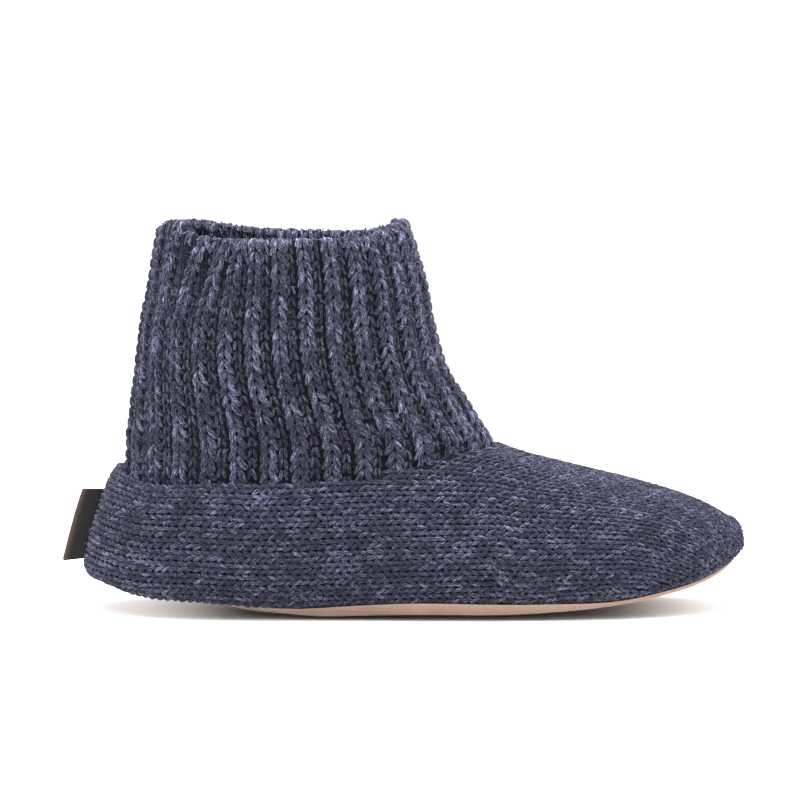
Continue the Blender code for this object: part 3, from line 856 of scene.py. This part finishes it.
def hair_tree():
    """Stray fibres scattered over a cloth, each a thin bent taper."""
    tree, inputs, output = new_tree("stray_fibres", "Density", "Length", "Width", "Lift")
    spots = add(tree, "GeometryNodeDistributePointsOnFaces", {
        "Mesh": inputs["Geometry"], "Seed": inputs["Seed"],
        "Density": times(tree, named(tree, "outer", "FLOAT"), inputs["Density"])})
    reach = inputs["Length"]
    line = bent_line(tree, [
        (times(tree, reach, a), times(tree, reach, b), times_plus(tree, reach, c, inputs["Lift"]))
        for a, b, c in HAIR_PATH], 4, 4)
    thin = times_plus(tree, named(tree, "along", "FLOAT"), -0.8, 1.0)
    profile = add(tree, "GeometryNodeCurvePrimitiveCircle", {
        "Resolution": 3, "Radius": times(tree, inputs["Width"], 0.5)})
    hair = add(tree, "GeometryNodeCurveToMesh", {
        "Curve": line, "Profile Curve": profile.outputs[0], "Scale": thin, "Fill Caps": True})
    spin = add(tree, "FunctionNodeEulerToRotation", {"Euler": random_vector(
        tree, (0.5, 0.5, math.pi), math_node(tree, "ADD", inputs["Seed"], 1.0))})
    turned = add(tree, "FunctionNodeRotateRotation", {
        "Rotation": spots.outputs["Rotation"], "Rotate By": spin.outputs[0]}, rotation_space="LOCAL")
    size = random_vector(tree, (0.45, 0.45, 0.45), math_node(tree, "ADD", inputs["Seed"], 2.0), 0.6)
    hairs = add(tree, "GeometryNodeInstanceOnPoints", {
        "Points": spots.outputs["Points"], "Instance": hair.outputs[0],
        "Rotation": turned.outputs[0], "Scale": size})
    finish_tree(tree, output, [hairs.outputs[0]], inputs["Material"])
    return tree


def grown(source, tree, values, name):
    """The plain mesh that a tree makes of an object, which is removed."""
    modifier = source.modifiers.new("grow", "NODES")
    modifier.node_group = tree
    for item in tree.interface.items_tree:
        if item.in_out == "INPUT" and item.name in values:
            modifier[item.identifier] = values[item.name]
    source.update_tag()
    bpy.context.view_layer.update()
    graph = bpy.context.evaluated_depsgraph_get()
    mesh = bpy.data.meshes.new_from_object(
        source.evaluated_get(graph), preserve_all_data_layers=True, depsgraph=graph)
    mesh.name = name
    source.modifiers.remove(modifier)
    bpy.data.objects.remove(source, do_unlink=True)
    return link(bpy.data.objects.new(name, mesh))


def link(made):
    bpy.context.scene.collection.objects.link(made)
    return made


def stitch_points(table, name):
    """Bare points that carry the aim, outward direction, size and painted light and shade of their
    stitches.
    """
    mesh = bpy.data.meshes.new(name)
    mesh.from_pydata((table[:, :3] + (HEEL_X, 0.0, 0.0)).tolist(), [], [])
    for label, first, kind, field in (
        ("aim", 3, "FLOAT_VECTOR", "vector"), ("out", 6, "FLOAT_VECTOR", "vector"),
        ("grow", 9, "FLOAT_VECTOR", "vector"), ("light", 12, "FLOAT", "value"),
    ):
        values = mesh.attributes.new(label, kind, "POINT").data
        values.foreach_set(field, table[:, first:first + 3].astype(np.float32).ravel())
    return link(bpy.data.objects.new(name, mesh))


def knit_piece(table, tree, name, seed):
    knit = settings("knit")
    made = grown(stitch_points(table, name + "_points"), tree, {
        "Course": knit.course, "Wale": knit.wale, "Yarn": knit.yarn, "Slack": knit.slack,
        "Seed": seed, "Material": bpy.data.materials["marled_yarn"]}, name)
    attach(made, "root")
    return made


# Materials

def new_material(name):
    made = bpy.data.materials.new(name)
    made.use_nodes = True
    return made.node_tree, made.node_tree.nodes["Principled BSDF"]


def scaled(colour, factor):
    return tuple(min(1.0, factor * c) for c in colour[:3]) + (1.0,)


def object_place(tree):
    return add(tree, "ShaderNodeTexCoord").outputs["Object"]


def colour_steps(tree, value, steps):
    ramp = add(tree, "ShaderNodeValToRGB", {"Fac": value})
    band = ramp.color_ramp
    while len(band.elements) < len(steps):
        band.elements.new(0.5)
    for element, (place, colour) in zip(band.elements, steps):
        element.position = place
        element.color = colour
    return ramp.outputs[0]


def mixed(tree, share_of, one, other, blend="MIX"):
    made = add(tree, "ShaderNodeMix", {"Factor_Float": share_of, "A_Color": one, "B_Color": other},
               data_type="RGBA", blend_type=blend)
    return pick(made.outputs, "Result_Color")


def noise(tree, where, scale, detail=3.0, roughness=0.6, **more):
    return add(tree, "ShaderNodeTexNoise", {
        "Vector": where, "Scale": scale, "Detail": detail, "Roughness": roughness, **more}).outputs[0]


def wave(tree, where, direction, scale, distortion, detail=2.0, detail_scale=1.0):
    return add(tree, "ShaderNodeTexWave", {
        "Vector": where, "Scale": scale, "Distortion": distortion, "Detail": detail,
        "Detail Scale": detail_scale}, bands_direction=direction).outputs["Fac"]


def between(tree, value, low, high, least=0.0, most=1.0):
    return add(tree, "ShaderNodeMapRange", {
        "Value": value, "From Min": low, "From Max": high, "To Min": least, "To Max": most},
        interpolation_type="SMOOTHSTEP").outputs[0]


def bump(tree, height, distance, strength=1.0):
    return add(tree, "ShaderNodeBump", {
        "Height": height, "Distance": distance, "Strength": strength}).outputs[0]


def attribute(tree, name, output="Fac"):
    return add(tree, "ShaderNodeAttribute", attribute_name=name).outputs[output]


def finish_wool(tree, shader, colour, sheen, roughness=0.95):
    """Matt fibres that catch a little light at their edges."""
    fill(tree, shader, {
        "Base Color": colour, "Roughness": roughness, "Specular IOR Level": 0.15,
        "Sheen Weight": sheen, "Sheen Roughness": 0.5, "Sheen Tint": (0.62, 0.64, 0.85, 1.0)})


def make_yarn():
    """Marled wool: twisted fibres along each leg, pale ones among navy and near-black ones, times the
    painted light and shade of each stitch.
    """
    knit = settings("knit")
    tree, shader = new_material("marled_yarn")
    run, tone = attribute(tree, "along"), attribute(tree, "tone")
    place = vector_node(tree, "ADD", attribute(tree, "ring", "Vector"),
                        add(tree, "ShaderNodeCombineXYZ", {"Z": run}).outputs[0])
    twisted = add(tree, "ShaderNodeVectorRotate", {
        "Vector": place, "Angle": times(tree, run, 1.1)}, rotation_type="Z_AXIS").outputs[0]
    shifted = vector_node(tree, "ADD", twisted, add(tree, "ShaderNodeCombineXYZ", {
        "X": times(tree, tone, 71.0), "Z": times(tree, tone, 37.0)}).outputs[0])
    fibres = noise(tree, shifted, 2.9, 4.0, 0.72)
    fine = noise(tree, shifted, 7.5, 2.0, 0.6)
    where = object_place(tree)
    cloudy = noise(tree, where, 110.0, 3.0, 0.6)
    fluff = noise(tree, where, 2100.0, 2.0, 0.7)
    value = fibres
    for varied, weight in ((tone, 0.10), (cloudy, 0.25), (fluff, 0.46)):
        value = times_plus(tree, math_node(tree, "SUBTRACT", varied, 0.5), weight, value)
    colour = colour_steps(tree, value, (
        (0.42, knit.deep), (0.51, knit.body), (0.57, knit.middle), (0.66, knit.fleck)))
    pale, dark = between(tree, fine, 0.58, 0.68), between(tree, fine, 0.44, 0.34)
    colour = mixed(tree, times(tree, pale, 0.55), colour, tuple(knit.fleck))
    colour = mixed(tree, times(tree, dark, 0.7), colour, tuple(knit.deep))
    # Painted light and shade of each stitch, multiplied into the yarn's colour
    painted_light = attribute(tree, "light")
    painted_light = add(tree, "ShaderNodeCombineColor", {"Red": painted_light, "Green": painted_light, "Blue": painted_light}).outputs[0]
    finish_wool(tree, shader, mixed(tree, 1.0, colour, painted_light, "MULTIPLY"), 0.16)
    fill(tree, shader, {"Normal": bump(tree, times_plus(tree, fine, 0.6, fibres), 0.0009)})


def make_cloth():
    """The dark bed between the stitches, the yarn's navy painted darker as the shade in the gaps, with
    the purl bumps of the knit's back.
    """
    knit = settings("knit")
    tree, shader = new_material("knit_back_painted_shade")
    place = add(tree, "ShaderNodeUVMap", uv_map="knit").outputs[0]
    loops = times(tree, wave(tree, place, "X", 0.5, 1.2, 1.0), wave(tree, place, "Y", 1.0, 0.8, 1.0))
    fuzz = noise(tree, object_place(tree), 2600.0, 3.0, 0.7)
    value = times_plus(tree, fuzz, 0.55, times(tree, loops, 0.5))
    # Painted shade: the darkest colour lies below the yarn's deepest navy, for the shade between the
    # stitches
    colour = colour_steps(tree, value, (
        (0.15, scaled(knit.deep, 0.4)), (0.5, knit.deep), (0.95, knit.body)))
    finish_wool(tree, shader, colour, 0.1, 1.0)
    fill(tree, shader, {"Normal": bump(tree, value, 0.0008)})


def make_hair():
    """Stray fibres: slate and pale ones in patches."""
    knit = settings("knit")
    tree, shader = new_material("stray_fibre")
    tones = noise(tree, object_place(tree), 140.0, 1.0)
    finish_wool(tree, shader, colour_steps(tree, tones, ((0.25, knit.middle), (0.62, knit.fleck))), 0.3)


def make_suede(name, light, dark, nap):
    """Brushed hide: a short nap in soft patches, darker where it is pressed."""
    tree, shader = new_material(name)
    where = object_place(tree)
    patches = noise(tree, where, 45.0, 4.0, 0.6)
    brushed = noise(tree, where, 320.0, 3.0, 0.7, Distortion=1.5)
    grain = noise(tree, where, nap, 2.0, 0.7)
    value = times_plus(tree, brushed, 0.5, times(tree, patches, 0.6))
    colour = colour_steps(tree, value, ((0.32, dark), (0.68, light)))
    speck = times(tree, between(tree, grain, 0.35, 0.7), 0.35)
    fill(tree, shader, {
        "Base Color": mixed(tree, speck, colour, scaled(light, 1.25)), "Roughness": 0.95,
        "Specular IOR Level": 0.2, "Sheen Weight": 0.35, "Sheen Roughness": 0.45,
        "Sheen Tint": (1.0, 0.9, 0.82, 1.0),
        "Normal": bump(tree, times_plus(tree, grain, 0.6, brushed), 0.0003, 0.9)})


def make_tape():
    """Woven tape: fine ribs across it, rubbed paler along the fold."""
    tape = settings("tape")
    tree, shader = new_material("woven_tape")
    place = add(tree, "ShaderNodeUVMap", uv_map="weave").outputs[0]
    ribs = wave(tree, place, "Y", 0.31 / tape.rib, 0.6, 2.0, 3.0)
    weave = times_plus(tree, wave(tree, place, "X", 0.22 / tape.rib, 0.4), 0.4, ribs)
    where = object_place(tree)
    lint = between(tree, noise(tree, where, 1800.0, 3.0, 0.7), 0.55, 0.75)
    worn = between(tree, noise(tree, where, 500.0), 0.2, 0.6, 0.6)
    worn = times(tree, attribute(tree, "rubbed"), worn)
    colour = mixed(tree, worn, tuple(tape.tape), tuple(tape.fold))
    colour = mixed(tree, times(tree, lint, 0.12), colour, (0.25, 0.23, 0.24, 1.0))
    fill(tree, shader, {
        "Base Color": colour, "Roughness": between(tree, weave, 0.0, 1.4, 0.55, 0.8),
        "Specular IOR Level": 0.2, "Normal": bump(tree, weave, 0.00012, 0.8)})


# Meshes

def mesh_piece(name, bm, finish, replaced, smooth_angle=None):
    """A finished mesh in the frame, riding on the body."""
    bmesh.ops.remove_doubles(bm, verts=bm.verts, dist=MERGE_DISTANCE)
    bmesh.ops.translate(bm, verts=bm.verts, vec=(HEEL_X, 0, 0))
    bmesh.ops.recalc_face_normals(bm, faces=bm.faces)
    mesh = bpy.data.meshes.new(name)
    bm.to_mesh(mesh)
    bm.free()
    mesh.shade_smooth()
    if smooth_angle:
        mesh.set_sharp_from_angle(angle=smooth_angle)
    mesh.materials.append(bpy.data.materials[finish])
    made = link(bpy.data.objects.new(name, mesh))
    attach(made, "root")
    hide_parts(replaced)
    return made


def skin(bm, grid, closed, layer=None, marks=None):
    """Quads over a grid of points; closed joins each row's end to its start."""
    verts = [[bm.verts.new(point) for point in row] for row in grid]
    count = len(verts[0])
    for i, (low, high) in enumerate(zip(verts, verts[1:])):
        for k in range(count if closed else count - 1):
            after = (k + 1) % count
            face = bm.faces.new((low[k], low[after], high[after], high[k]))
            if layer is not None:
                for loop, spot in zip(face.loops, ((i, k), (i, k + 1), (i + 1, k + 1), (i + 1, k))):
                    loop[layer].uv = marks(*spot)
    return verts


def join_rows(bm, one, other, closed):
    count = len(one)
    for k in range(count if closed else count - 1):
        after = (k + 1) % count
        bm.faces.new((one[k], other[k], other[after], one[after]))


def foot_stations(ankle_count=44, toe_count=30):
    turns = np.pi * np.arange(ankle_count) / ankle_count
    ankle = list(COLLAR_FRONT * (np.sin(turns / 2) / 2 + (1 - np.cos(turns)) / 4))
    toe = [COLLAR_FRONT + (1 - COLLAR_FRONT) * k / toe_count for k in range(toe_count + 1)]
    return ankle + toe


def round_trip(stations):
    outer = [(station, -1) for station in stations]
    return outer + [(station, 1) for station in reversed(stations[1:-1])]


class FootCloth(bpy.types.Operator):
    """The knitted foot's cloth: one hollow wall under the stitches, open at the collar"""
    bl_idname = "slipper.foot_cloth"
    bl_label = "Foot cloth"

    def execute(self, context):
        bed = settings("knit").bed
        stations = foot_stations()
        trip = round_trip(stations)
        halves = {side: foot_grid(side, np.array(stations)) for side in (-1, 1)}
        index = {station: k for k, station in enumerate(stations)}
        outside, inside = [], []
        for station, side in trip:
            start = inset_point(sole_point, station, side, SEWN_MARGIN)
            x = sole_point(station, side)[0]
            low = underside(x) + sole_height(x) + PIECE_GAP
            grid, out = halves[side]
            curled = x < CURLED_HEEL * FOOT_LENGTH
            lowest = np.arange(grid.shape[1]) < CURLED_ROWS
            depth = bed * np.where(lowest & curled, CURLED_DEPTH, 1.0)[:, None]
            line = (grid[index[station]] - depth * out[index[station]])[::3]
            line[:, 2] = np.maximum(line[:, 2], underside(x) + CURLED_CLEAR if curled else low)
            outside.append(np.vstack([[*start, low], line]))
            line = foot_section(station, side, UPPER_WALL)[::3]
            inside.append(np.vstack([[*start, low + UPPER_WALL / 2], line]))
        bm = bmesh.new()
        layer = bm.loops.layers.uv.new("knit")
        outer = bm.verts.layers.float.new("outer")
        walls = []
        for wall in (outside, inside):
            rows = np.array(wall).transpose(1, 0, 2)
            walls.append(skin(bm, rows, True, layer, lambda i, k: (k * 0.9, i * 0.55)))
        for row in walls[0][2:]:
            for vert in row:
                vert[outer] = 1.0
        join_rows(bm, walls[0][0], walls[1][0], closed=True)
        collar = [k for k, (station, side) in enumerate(trip) if station <= COLLAR_FRONT + 1e-9]
        first_inner = next(k for k in collar if trip[k][1] > 0)
        ring = [k for k in collar if k >= first_inner] + [k for k in collar if k < first_inner]
        join_rows(bm, [walls[0][-1][k] for k in ring], [walls[1][-1][k] for k in ring], closed=False)
        mesh_piece("foot_cloth", bm, "knit_back_painted_shade", "upper")
        return {"FINISHED"}


class FootStitches(bpy.types.Operator):
    """Rows of plain stitches that run round the foot from heel to toe"""
    bl_idname = "slipper.foot_stitches"
    bl_label = "Foot stitches"

    def execute(self, context):
        knit = settings("knit")
        table = foot_rows()
        table[:, :3] -= table[:, 6:9] * knit.yarn * FOOT_SINK
        tree = stitch_tree()
        start = -1.0
        for k, (name, end) in enumerate(FOOT_ZONES):
            x = table[:, 0] / FOOT_LENGTH
            knit_piece(table[(x >= start) & (x < end)], tree, name, knit.seed + 40 * k)
            start = end
        return {"FINISHED"}


class CuffCloth(bpy.types.Operator):
    """The cuff's cloth: a ribbed tube with a folded hem, tucked behind the foot's collar"""
    bl_idname = "slipper.cuff_cloth"
    bl_label = "Cuff cloth"

    def execute(self, context):
        bed = settings("knit").bed
        per_rib = 10
        count = RIB_COUNT * per_rib
        shares = np.arange(count) / count
        grid, out = cuff_grid(shares)
        relief = smooth(RIB_RELIEF, np.arange(count) % per_rib / per_rib)
        # The bed lies nearer to the surface over the hem's fold, nearest on its inner side
        fold = [0 if rise < 1 else 1 + (inset > 0.2 * HEM_WALL) for rise, inset, drop in cuff_stops()]
        sunk = bed * (0.75 + 0.65 * relief)[None, :, None]
        sunk = sunk * np.choose(fold, (1.0, 0.75, 0.25))[:, None, None]
        sunk[0] = sunk[-1] = 0
        grid = grid - out * sunk
        bm = bmesh.new()
        layer = bm.loops.layers.uv.new("knit")
        outer = bm.verts.layers.float.new("outer")
        rows = skin(bm, grid, True, layer, lambda i, k: (i * 0.7, 2.0 * k / per_rib))
        for row in rows[3:OUTSIDE_STEPS + HEM_STEPS + 4]:
            for vert in row:
                vert[outer] = 1.0
        join_rows(bm, rows[-1], rows[0], closed=True)
        mesh_piece("cuff_cloth", bm, "knit_back_painted_shade", "shaft")
        return {"FINISHED"}


class CuffStitches(bpy.types.Operator):
    """Rib stitches up the cuff, over its folded hem and down its inside"""
    bl_idname = "slipper.cuff_stitches"
    bl_label = "Cuff stitches"

    def execute(self, context):
        knit = settings("knit")
        table = cuff_rows()
        table[:, :3] -= table[:, 6:9] * knit.yarn * CUFF_SINK
        tree = stitch_tree()
        middle = np.array([FOOT_LENGTH * CUFF_MIDDLE, collar_centre()])
        faces_out = np.sum(table[:, 6:8] * (table[:, :2] - middle), axis=1) > 0
        knit_piece(table[faces_out], tree, "cuff_rib_stitches", knit.seed + 200)
        knit_piece(table[~faces_out], tree, "cuff_inside_stitches", knit.seed + 260)
        return {"FINISHED"}


class StrayFibres(bpy.types.Operator):
    """Fine hairs that stand off the wool"""
    bl_idname = "slipper.stray_fibres"
    bl_label = "Stray fibres"

    def execute(self, context):
        knit = settings("knit")
        tree = hair_tree()
        for k, (base, slot) in enumerate((("foot_cloth", "navy_knit"), ("cuff_cloth", "navy_rib"))):
            copy = link(bpy.data.objects.new(base + "_base", bpy.data.objects[base].data.copy()))
            made = grown(copy, tree, {
                "Density": knit.hairs, "Length": knit.hair, "Width": knit.hair_width,
                "Lift": knit.bed, "Seed": knit.seed + k,
                "Material": bpy.data.materials["stray_fibre"]}, base.replace("cloth", "fuzz"))
            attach(made, "root")
        return {"FINISHED"}


def quarter_turn(rings):
    return [math.pi / 2 * k / (rings - 1) for k in range(rings)]


def plain_edge(thickness, rounding):
    """Edge of a flat piece from its lower face to its upper one: how far in, how high."""
    turns = quarter_turn(EDGE_RINGS)
    edge = [(rounding * (1 - math.sin(t)), rounding * (1 - math.cos(t))) for t in turns]
    return edge + [(inward, thickness - height) for inward, height in reversed(edge)]


def wrapped_edge(station, side, rounding):
    """Edge of the suede: rolled under at the floor and wrapped up over the knit's lower edge."""
    start = sole_point(station, side)
    x = start[0] / FOOT_LENGTH
    wrap, under = smooth(WRAP, x), smooth(ROLLED_UNDER, x)
    line = foot_section(station, side, 0.0, side_rows=28)[:28]
    line = line[np.argmin(line[:, 2]):]
    away = start - inset_point(sole_point, station, side, 0.001)
    away /= np.linalg.norm(away)
    level = line[:, 2] - underside(start[0])
    run = (line[:, :2] - start) @ away
    thick = sole_height(start[0])
    top = thick + wrap
    turns = quarter_turn(EDGE_RINGS + 2)
    edge = [(SOLE_ROLL * (1 - k / 5), (under - rounding) * (k / 5) ** 0.6) for k in range(5)]
    edge += [(rounding * (1 - math.sin(t)), under - rounding * math.cos(t)) for t in turns]
    edge += [(0.0, under + (top - rounding - under) * k / 4) for k in range(1, 4)]
    edge += [(rounding * (1 - math.sin(t)), top - rounding * (1 - math.cos(t)))
             for t in reversed(turns)]
    weight = min(wrap / 0.001, 1.0)
    moved = []
    for inward, height in edge:
        clear = SUEDE_CLEAR * min(height / thick, 1.0)
        moved.append((inward - weight * (np.interp(height, level, run) + clear), height))
    return moved + [(SUEDE_TUCK, thick)]


def slab(bm, inset, lift, thickness, edge_at, waver, crown_by):
    """Soft flat piece with the sole's plan, following the underside from heel to toe."""
    stations = foot_stations(36, 24)
    trip = round_trip(stations)
    count = len(trip)
    rows = []
    for k, (station, side) in enumerate(trip):
        wave = waver * (math.sin(k * 0.9) + math.sin(k * 0.37 + 1.0)) / 2
        column = []
        for inward, height in edge_at(station, side):
            x, y = inset_point(sole_point, station, side, inset + inward + wave)
            column.append((x, y, underside(x) + lift + height))
        rows.append(column)
    rows = np.array(rows).transpose(1, 0, 2)
    grid = skin(bm, rows, closed=True)
    for row, top in ((grid[0], False), (grid[-1], True)):
        previous = row
        for step in range(1, FACE_RINGS + 1):
            part = step / (FACE_RINGS + 1)
            ring = []
            for k in range(count):
                here, other = row[k].co, row[(count - k) % count].co
                place = here.lerp((here + other) / 2, part)
                place.z = underside(place.x) + lift + (thickness(place.x) if top else 0.0)
                if top:
                    place.z += crown_by * math.sin(part * math.pi / 2)
                ring.append(bm.verts.new(place))
            join_rows(bm, previous, ring, closed=True)
            previous = ring
        last = len(stations) - 1
        for k in range(1, last - 1):
            bm.faces.new((previous[k], previous[k + 1], previous[count - k - 1], previous[count - k]))
        bm.faces.new((previous[0], previous[1], previous[count - 1]))
        bm.faces.new((previous[last - 1], previous[last], previous[last + 1]))


class Outsole(bpy.types.Operator):
    """Thin suede sole with a soft cut edge, its arch, toe spring and curled heel"""
    bl_idname = "slipper.outsole"
    bl_label = "Outsole"

    def execute(self, context):
        sole = settings("sole")
        bm = bmesh.new()
        slab(bm, 0.0, 0.0, sole_height,
             lambda station, side: wrapped_edge(station, side, sole.rounding), sole.waver, 0.0)
        mesh_piece("suede_outsole", bm, "suede", "outsole")
        return {"FINISHED"}


class Footbed(bpy.types.Operator):
    """Soft brushed footbed inside the boot"""
    bl_idname = "slipper.footbed"
    bl_label = "Footbed"

    def execute(self, context):
        sole = settings("sole")
        bm = bmesh.new()
        edge = plain_edge(INSOLE_THICKNESS, FOOTBED_ROUNDING)
        slab(bm, SEWN_MARGIN + PIECE_GAP, SOLE_THICKNESS + PIECE_GAP, lambda x: INSOLE_THICKNESS,
             lambda station, side: edge, 0.0, sole.loft)
        made = mesh_piece("footbed", bm, "fleece", "insole")
        return {"FINISHED"}


class HeelTape(bpy.types.Operator):
    """Short folded tape sewn into the seam up the back of the heel, bare on both faces"""
    bl_idname = "slipper.heel_tape"
    bl_label = "Heel tape"

    def execute(self, context):
        tape = settings("tape")
        back = foot_section(0.0, -1, 0.0)
        back = back[len(back) // 4:]
        half = TAB_THICKNESS / 2
        across = [(k / 8, -1) for k in range(8)]
        across += [(1.0, s) for s in (-1, -0.5, 0, 0.5, 1)]
        across += [(1 - k / 8, 1) for k in range(1, 9)]
        bm = bmesh.new()
        layer = bm.loops.layers.uv.new("weave")
        rubbed = bm.verts.layers.float.new("rubbed")
        walls = []
        for depth in (0.0, tape.layer):
            rows = []
            for i in range(TAPE_STEPS + 1):
                rise = i / TAPE_STEPS
                level = TAB_LOW + (TAB_HIGH - TAB_LOW) * rise
                seam = np.interp(level, back[:, 2], back[:, 0])
                root, edge = seam + 0.001, seam - TAB_REACH + depth
                row = []
                for reach, hand in across:
                    belly = half * (0.55 + 0.45 * math.sin(math.pi * min(reach, 0.98)) ** 0.5)
                    wide = max(belly - depth, 0.00008)
                    x = root + (edge - root) * reach
                    if reach == 1.0:
                        x += (1 - math.cos(hand * math.pi / 2)) * half * 0.9
                        y = math.sin(hand * math.pi / 2) * wide
                    else:
                        y = hand * wide
                    sway = TAPE_SWAY * math.sin(rise * math.pi) * reach
                    step = TAPE_STEP * reach * (hand < 0) * (i == 0)
                    row.append((x, y + sway, level - step))
                rows.append(row)
            verts = skin(bm, rows, False, layer, lambda i, k: (k * 0.0011, i * 0.00101))
            for row in verts:
                for vert, (reach, hand) in zip(row, across):
                    vert[rubbed] = max(0.0, (reach - 0.72) / 0.2)
            walls.append(verts)
        for end in (0, -1):
            join_rows(bm, walls[0][end], walls[1][end], closed=False)
        for end in (0, -1):
            join_rows(bm, *([row[end] for row in wall] for wall in walls), closed=False)
        mesh_piece("heel_tape", bm, "woven_tape", "heel_tab", TAPE_SHARP)
        return {"FINISHED"}


class Stage(bpy.types.Operator):
    """Pale floor with a painted glow past both ends of the sole, soft studio light and the camera"""
    bl_idname = "slipper.stage"
    bl_label = "Stage"

    def execute(self, context):
        stage = settings("stage")
        scene = bpy.context.scene
        scene.view_settings.view_transform = "Standard"
        mesh = bpy.data.meshes.new("floor")
        mesh.from_pydata([(-20, -20, 0), (20, -20, 0), (20, 20, 0), (-20, 20, 0)], [], [(0, 1, 2, 3)])
        tree, shader = new_material("pale_floor")
        where = object_place(tree)
        across = add(tree, "ShaderNodeSeparateXYZ", {"Vector": where}).outputs[0]
        away = math_node(tree, "ABSOLUTE", math_node(tree, "SUBTRACT", across, GLOW_MIDDLE))
        # Painted light: the floor glows past both ends of the sole, lightening the shadows of heel and
        # toe
        fill(tree, shader, {
            "Base Color": colour_steps(tree, noise(tree, where, 3.0, 1.0), (
                (0.0, scaled(stage.floor, 0.985)), (1.0, stage.floor))),
            "Roughness": 0.9, "Specular IOR Level": 0.1, "Emission Color": (1.0, 1.0, 1.0, 1.0),
            "Emission Strength": between(tree, away, *GLOW_FADE, 0.0, stage.glow)})
        mesh.materials.append(bpy.data.materials["pale_floor"])
        floor = link(bpy.data.objects.new("floor", mesh))

        world = bpy.data.worlds.new("studio")
        world.use_nodes = True
        fill(world.node_tree, world.node_tree.nodes["Background"], {
            "Color": (1.0, 1.0, 1.0, 1.0), "Strength": stage.sky})
        scene.world = world

        for name, place, aim, size, share_of in LAMPS:
            lamp = bpy.data.lights.new(name, "AREA")
            lamp.energy = stage.key * share_of
            lamp.size = size
            made = link(bpy.data.objects.new(name, lamp))
            made.location = place
            away = np.array(place) - np.array(aim)
            made.rotation_euler = (
                math.atan2(math.hypot(away[0], away[1]), away[2]), 0.0,
                math.atan2(away[0], -away[1]))

        target = (HEEL_X + (AIM_AT - HEEL_AT) * PIXEL, 0.0, (FLOOR_AT - AIM_AT) * PIXEL - EDGE_DROP)
        camera = bpy.data.cameras.new("camera")
        camera.sensor_width = SENSOR
        camera.lens = SENSOR * stage.distance / (PICTURE * PIXEL)
        camera.shift_x = (PICTURE / 2 - AIM_AT) / PICTURE
        camera.shift_y = -camera.shift_x
        made = link(bpy.data.objects.new("camera", camera))
        made.location = (target[0], target[1] - math.cos(stage.rise) * stage.distance,
                         target[2] + math.sin(stage.rise) * stage.distance)
        made.rotation_euler = (math.pi / 2 - stage.rise, 0.0, 0.0)
        scene.camera = made
        return {"FINISHED"}


class Materials(bpy.types.Operator):
    """The finishes that the pieces share"""
    bl_idname = "slipper.materials"
    bl_label = "Materials"

    def execute(self, context):
        sole = settings("sole")
        make_yarn()
        make_cloth()
        make_hair()
        make_tape()
        make_suede("suede", sole.suede, sole.worn, 2400.0)
        make_suede("fleece", sole.fleece, scaled(sole.fleece, 0.55), 1500.0)
        return {"FINISHED"}


PIECES = (
    Materials, FootCloth, FootStitches, CuffCloth, CuffStitches, StrayFibres,
    Outsole, Footbed, HeelTape, Stage,
)
GROUPS = (
    ("knit", KnitSettings), ("sole", SoleSettings), ("tape", TapeSettings), ("stage", StageSettings),
)


class SlipperPanel(bpy.types.Panel):
    """The boot's pieces and the settings of each"""
    bl_idname = "VIEW3D_PT_slipper"
    bl_label = "Slipper boot"
    bl_space_type = "VIEW_3D"
    bl_region_type = "UI"
    bl_category = "Slipper"

    def draw(self, context):
        for piece in PIECES:
            self.layout.operator(piece.bl_idname)
        for name, group in GROUPS:
            box = self.layout.box()
            box.label(text=name.capitalize())
            for label in group.__annotations__:
                box.prop(settings(name), label)


def register():
    for name, group in GROUPS:
        bpy.utils.register_class(group)
        setattr(bpy.types.Scene, "slipper_" + name, bpy.props.PointerProperty(type=group))
    for piece in PIECES:
        bpy.utils.register_class(piece)
    bpy.utils.register_class(SlipperPanel)


def unregister():
    bpy.utils.unregister_class(SlipperPanel)
    for piece in reversed(PIECES):
        bpy.utils.unregister_class(piece)
    for name, group in reversed(GROUPS):
        delattr(bpy.types.Scene, "slipper_" + name)
        bpy.utils.unregister_class(group)


def main():
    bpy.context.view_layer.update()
    register()
    for piece in PIECES:
        group, name = piece.bl_idname.split(".")
        getattr(getattr(bpy.ops, group), name)()


if __name__ == "__main__":
    main()
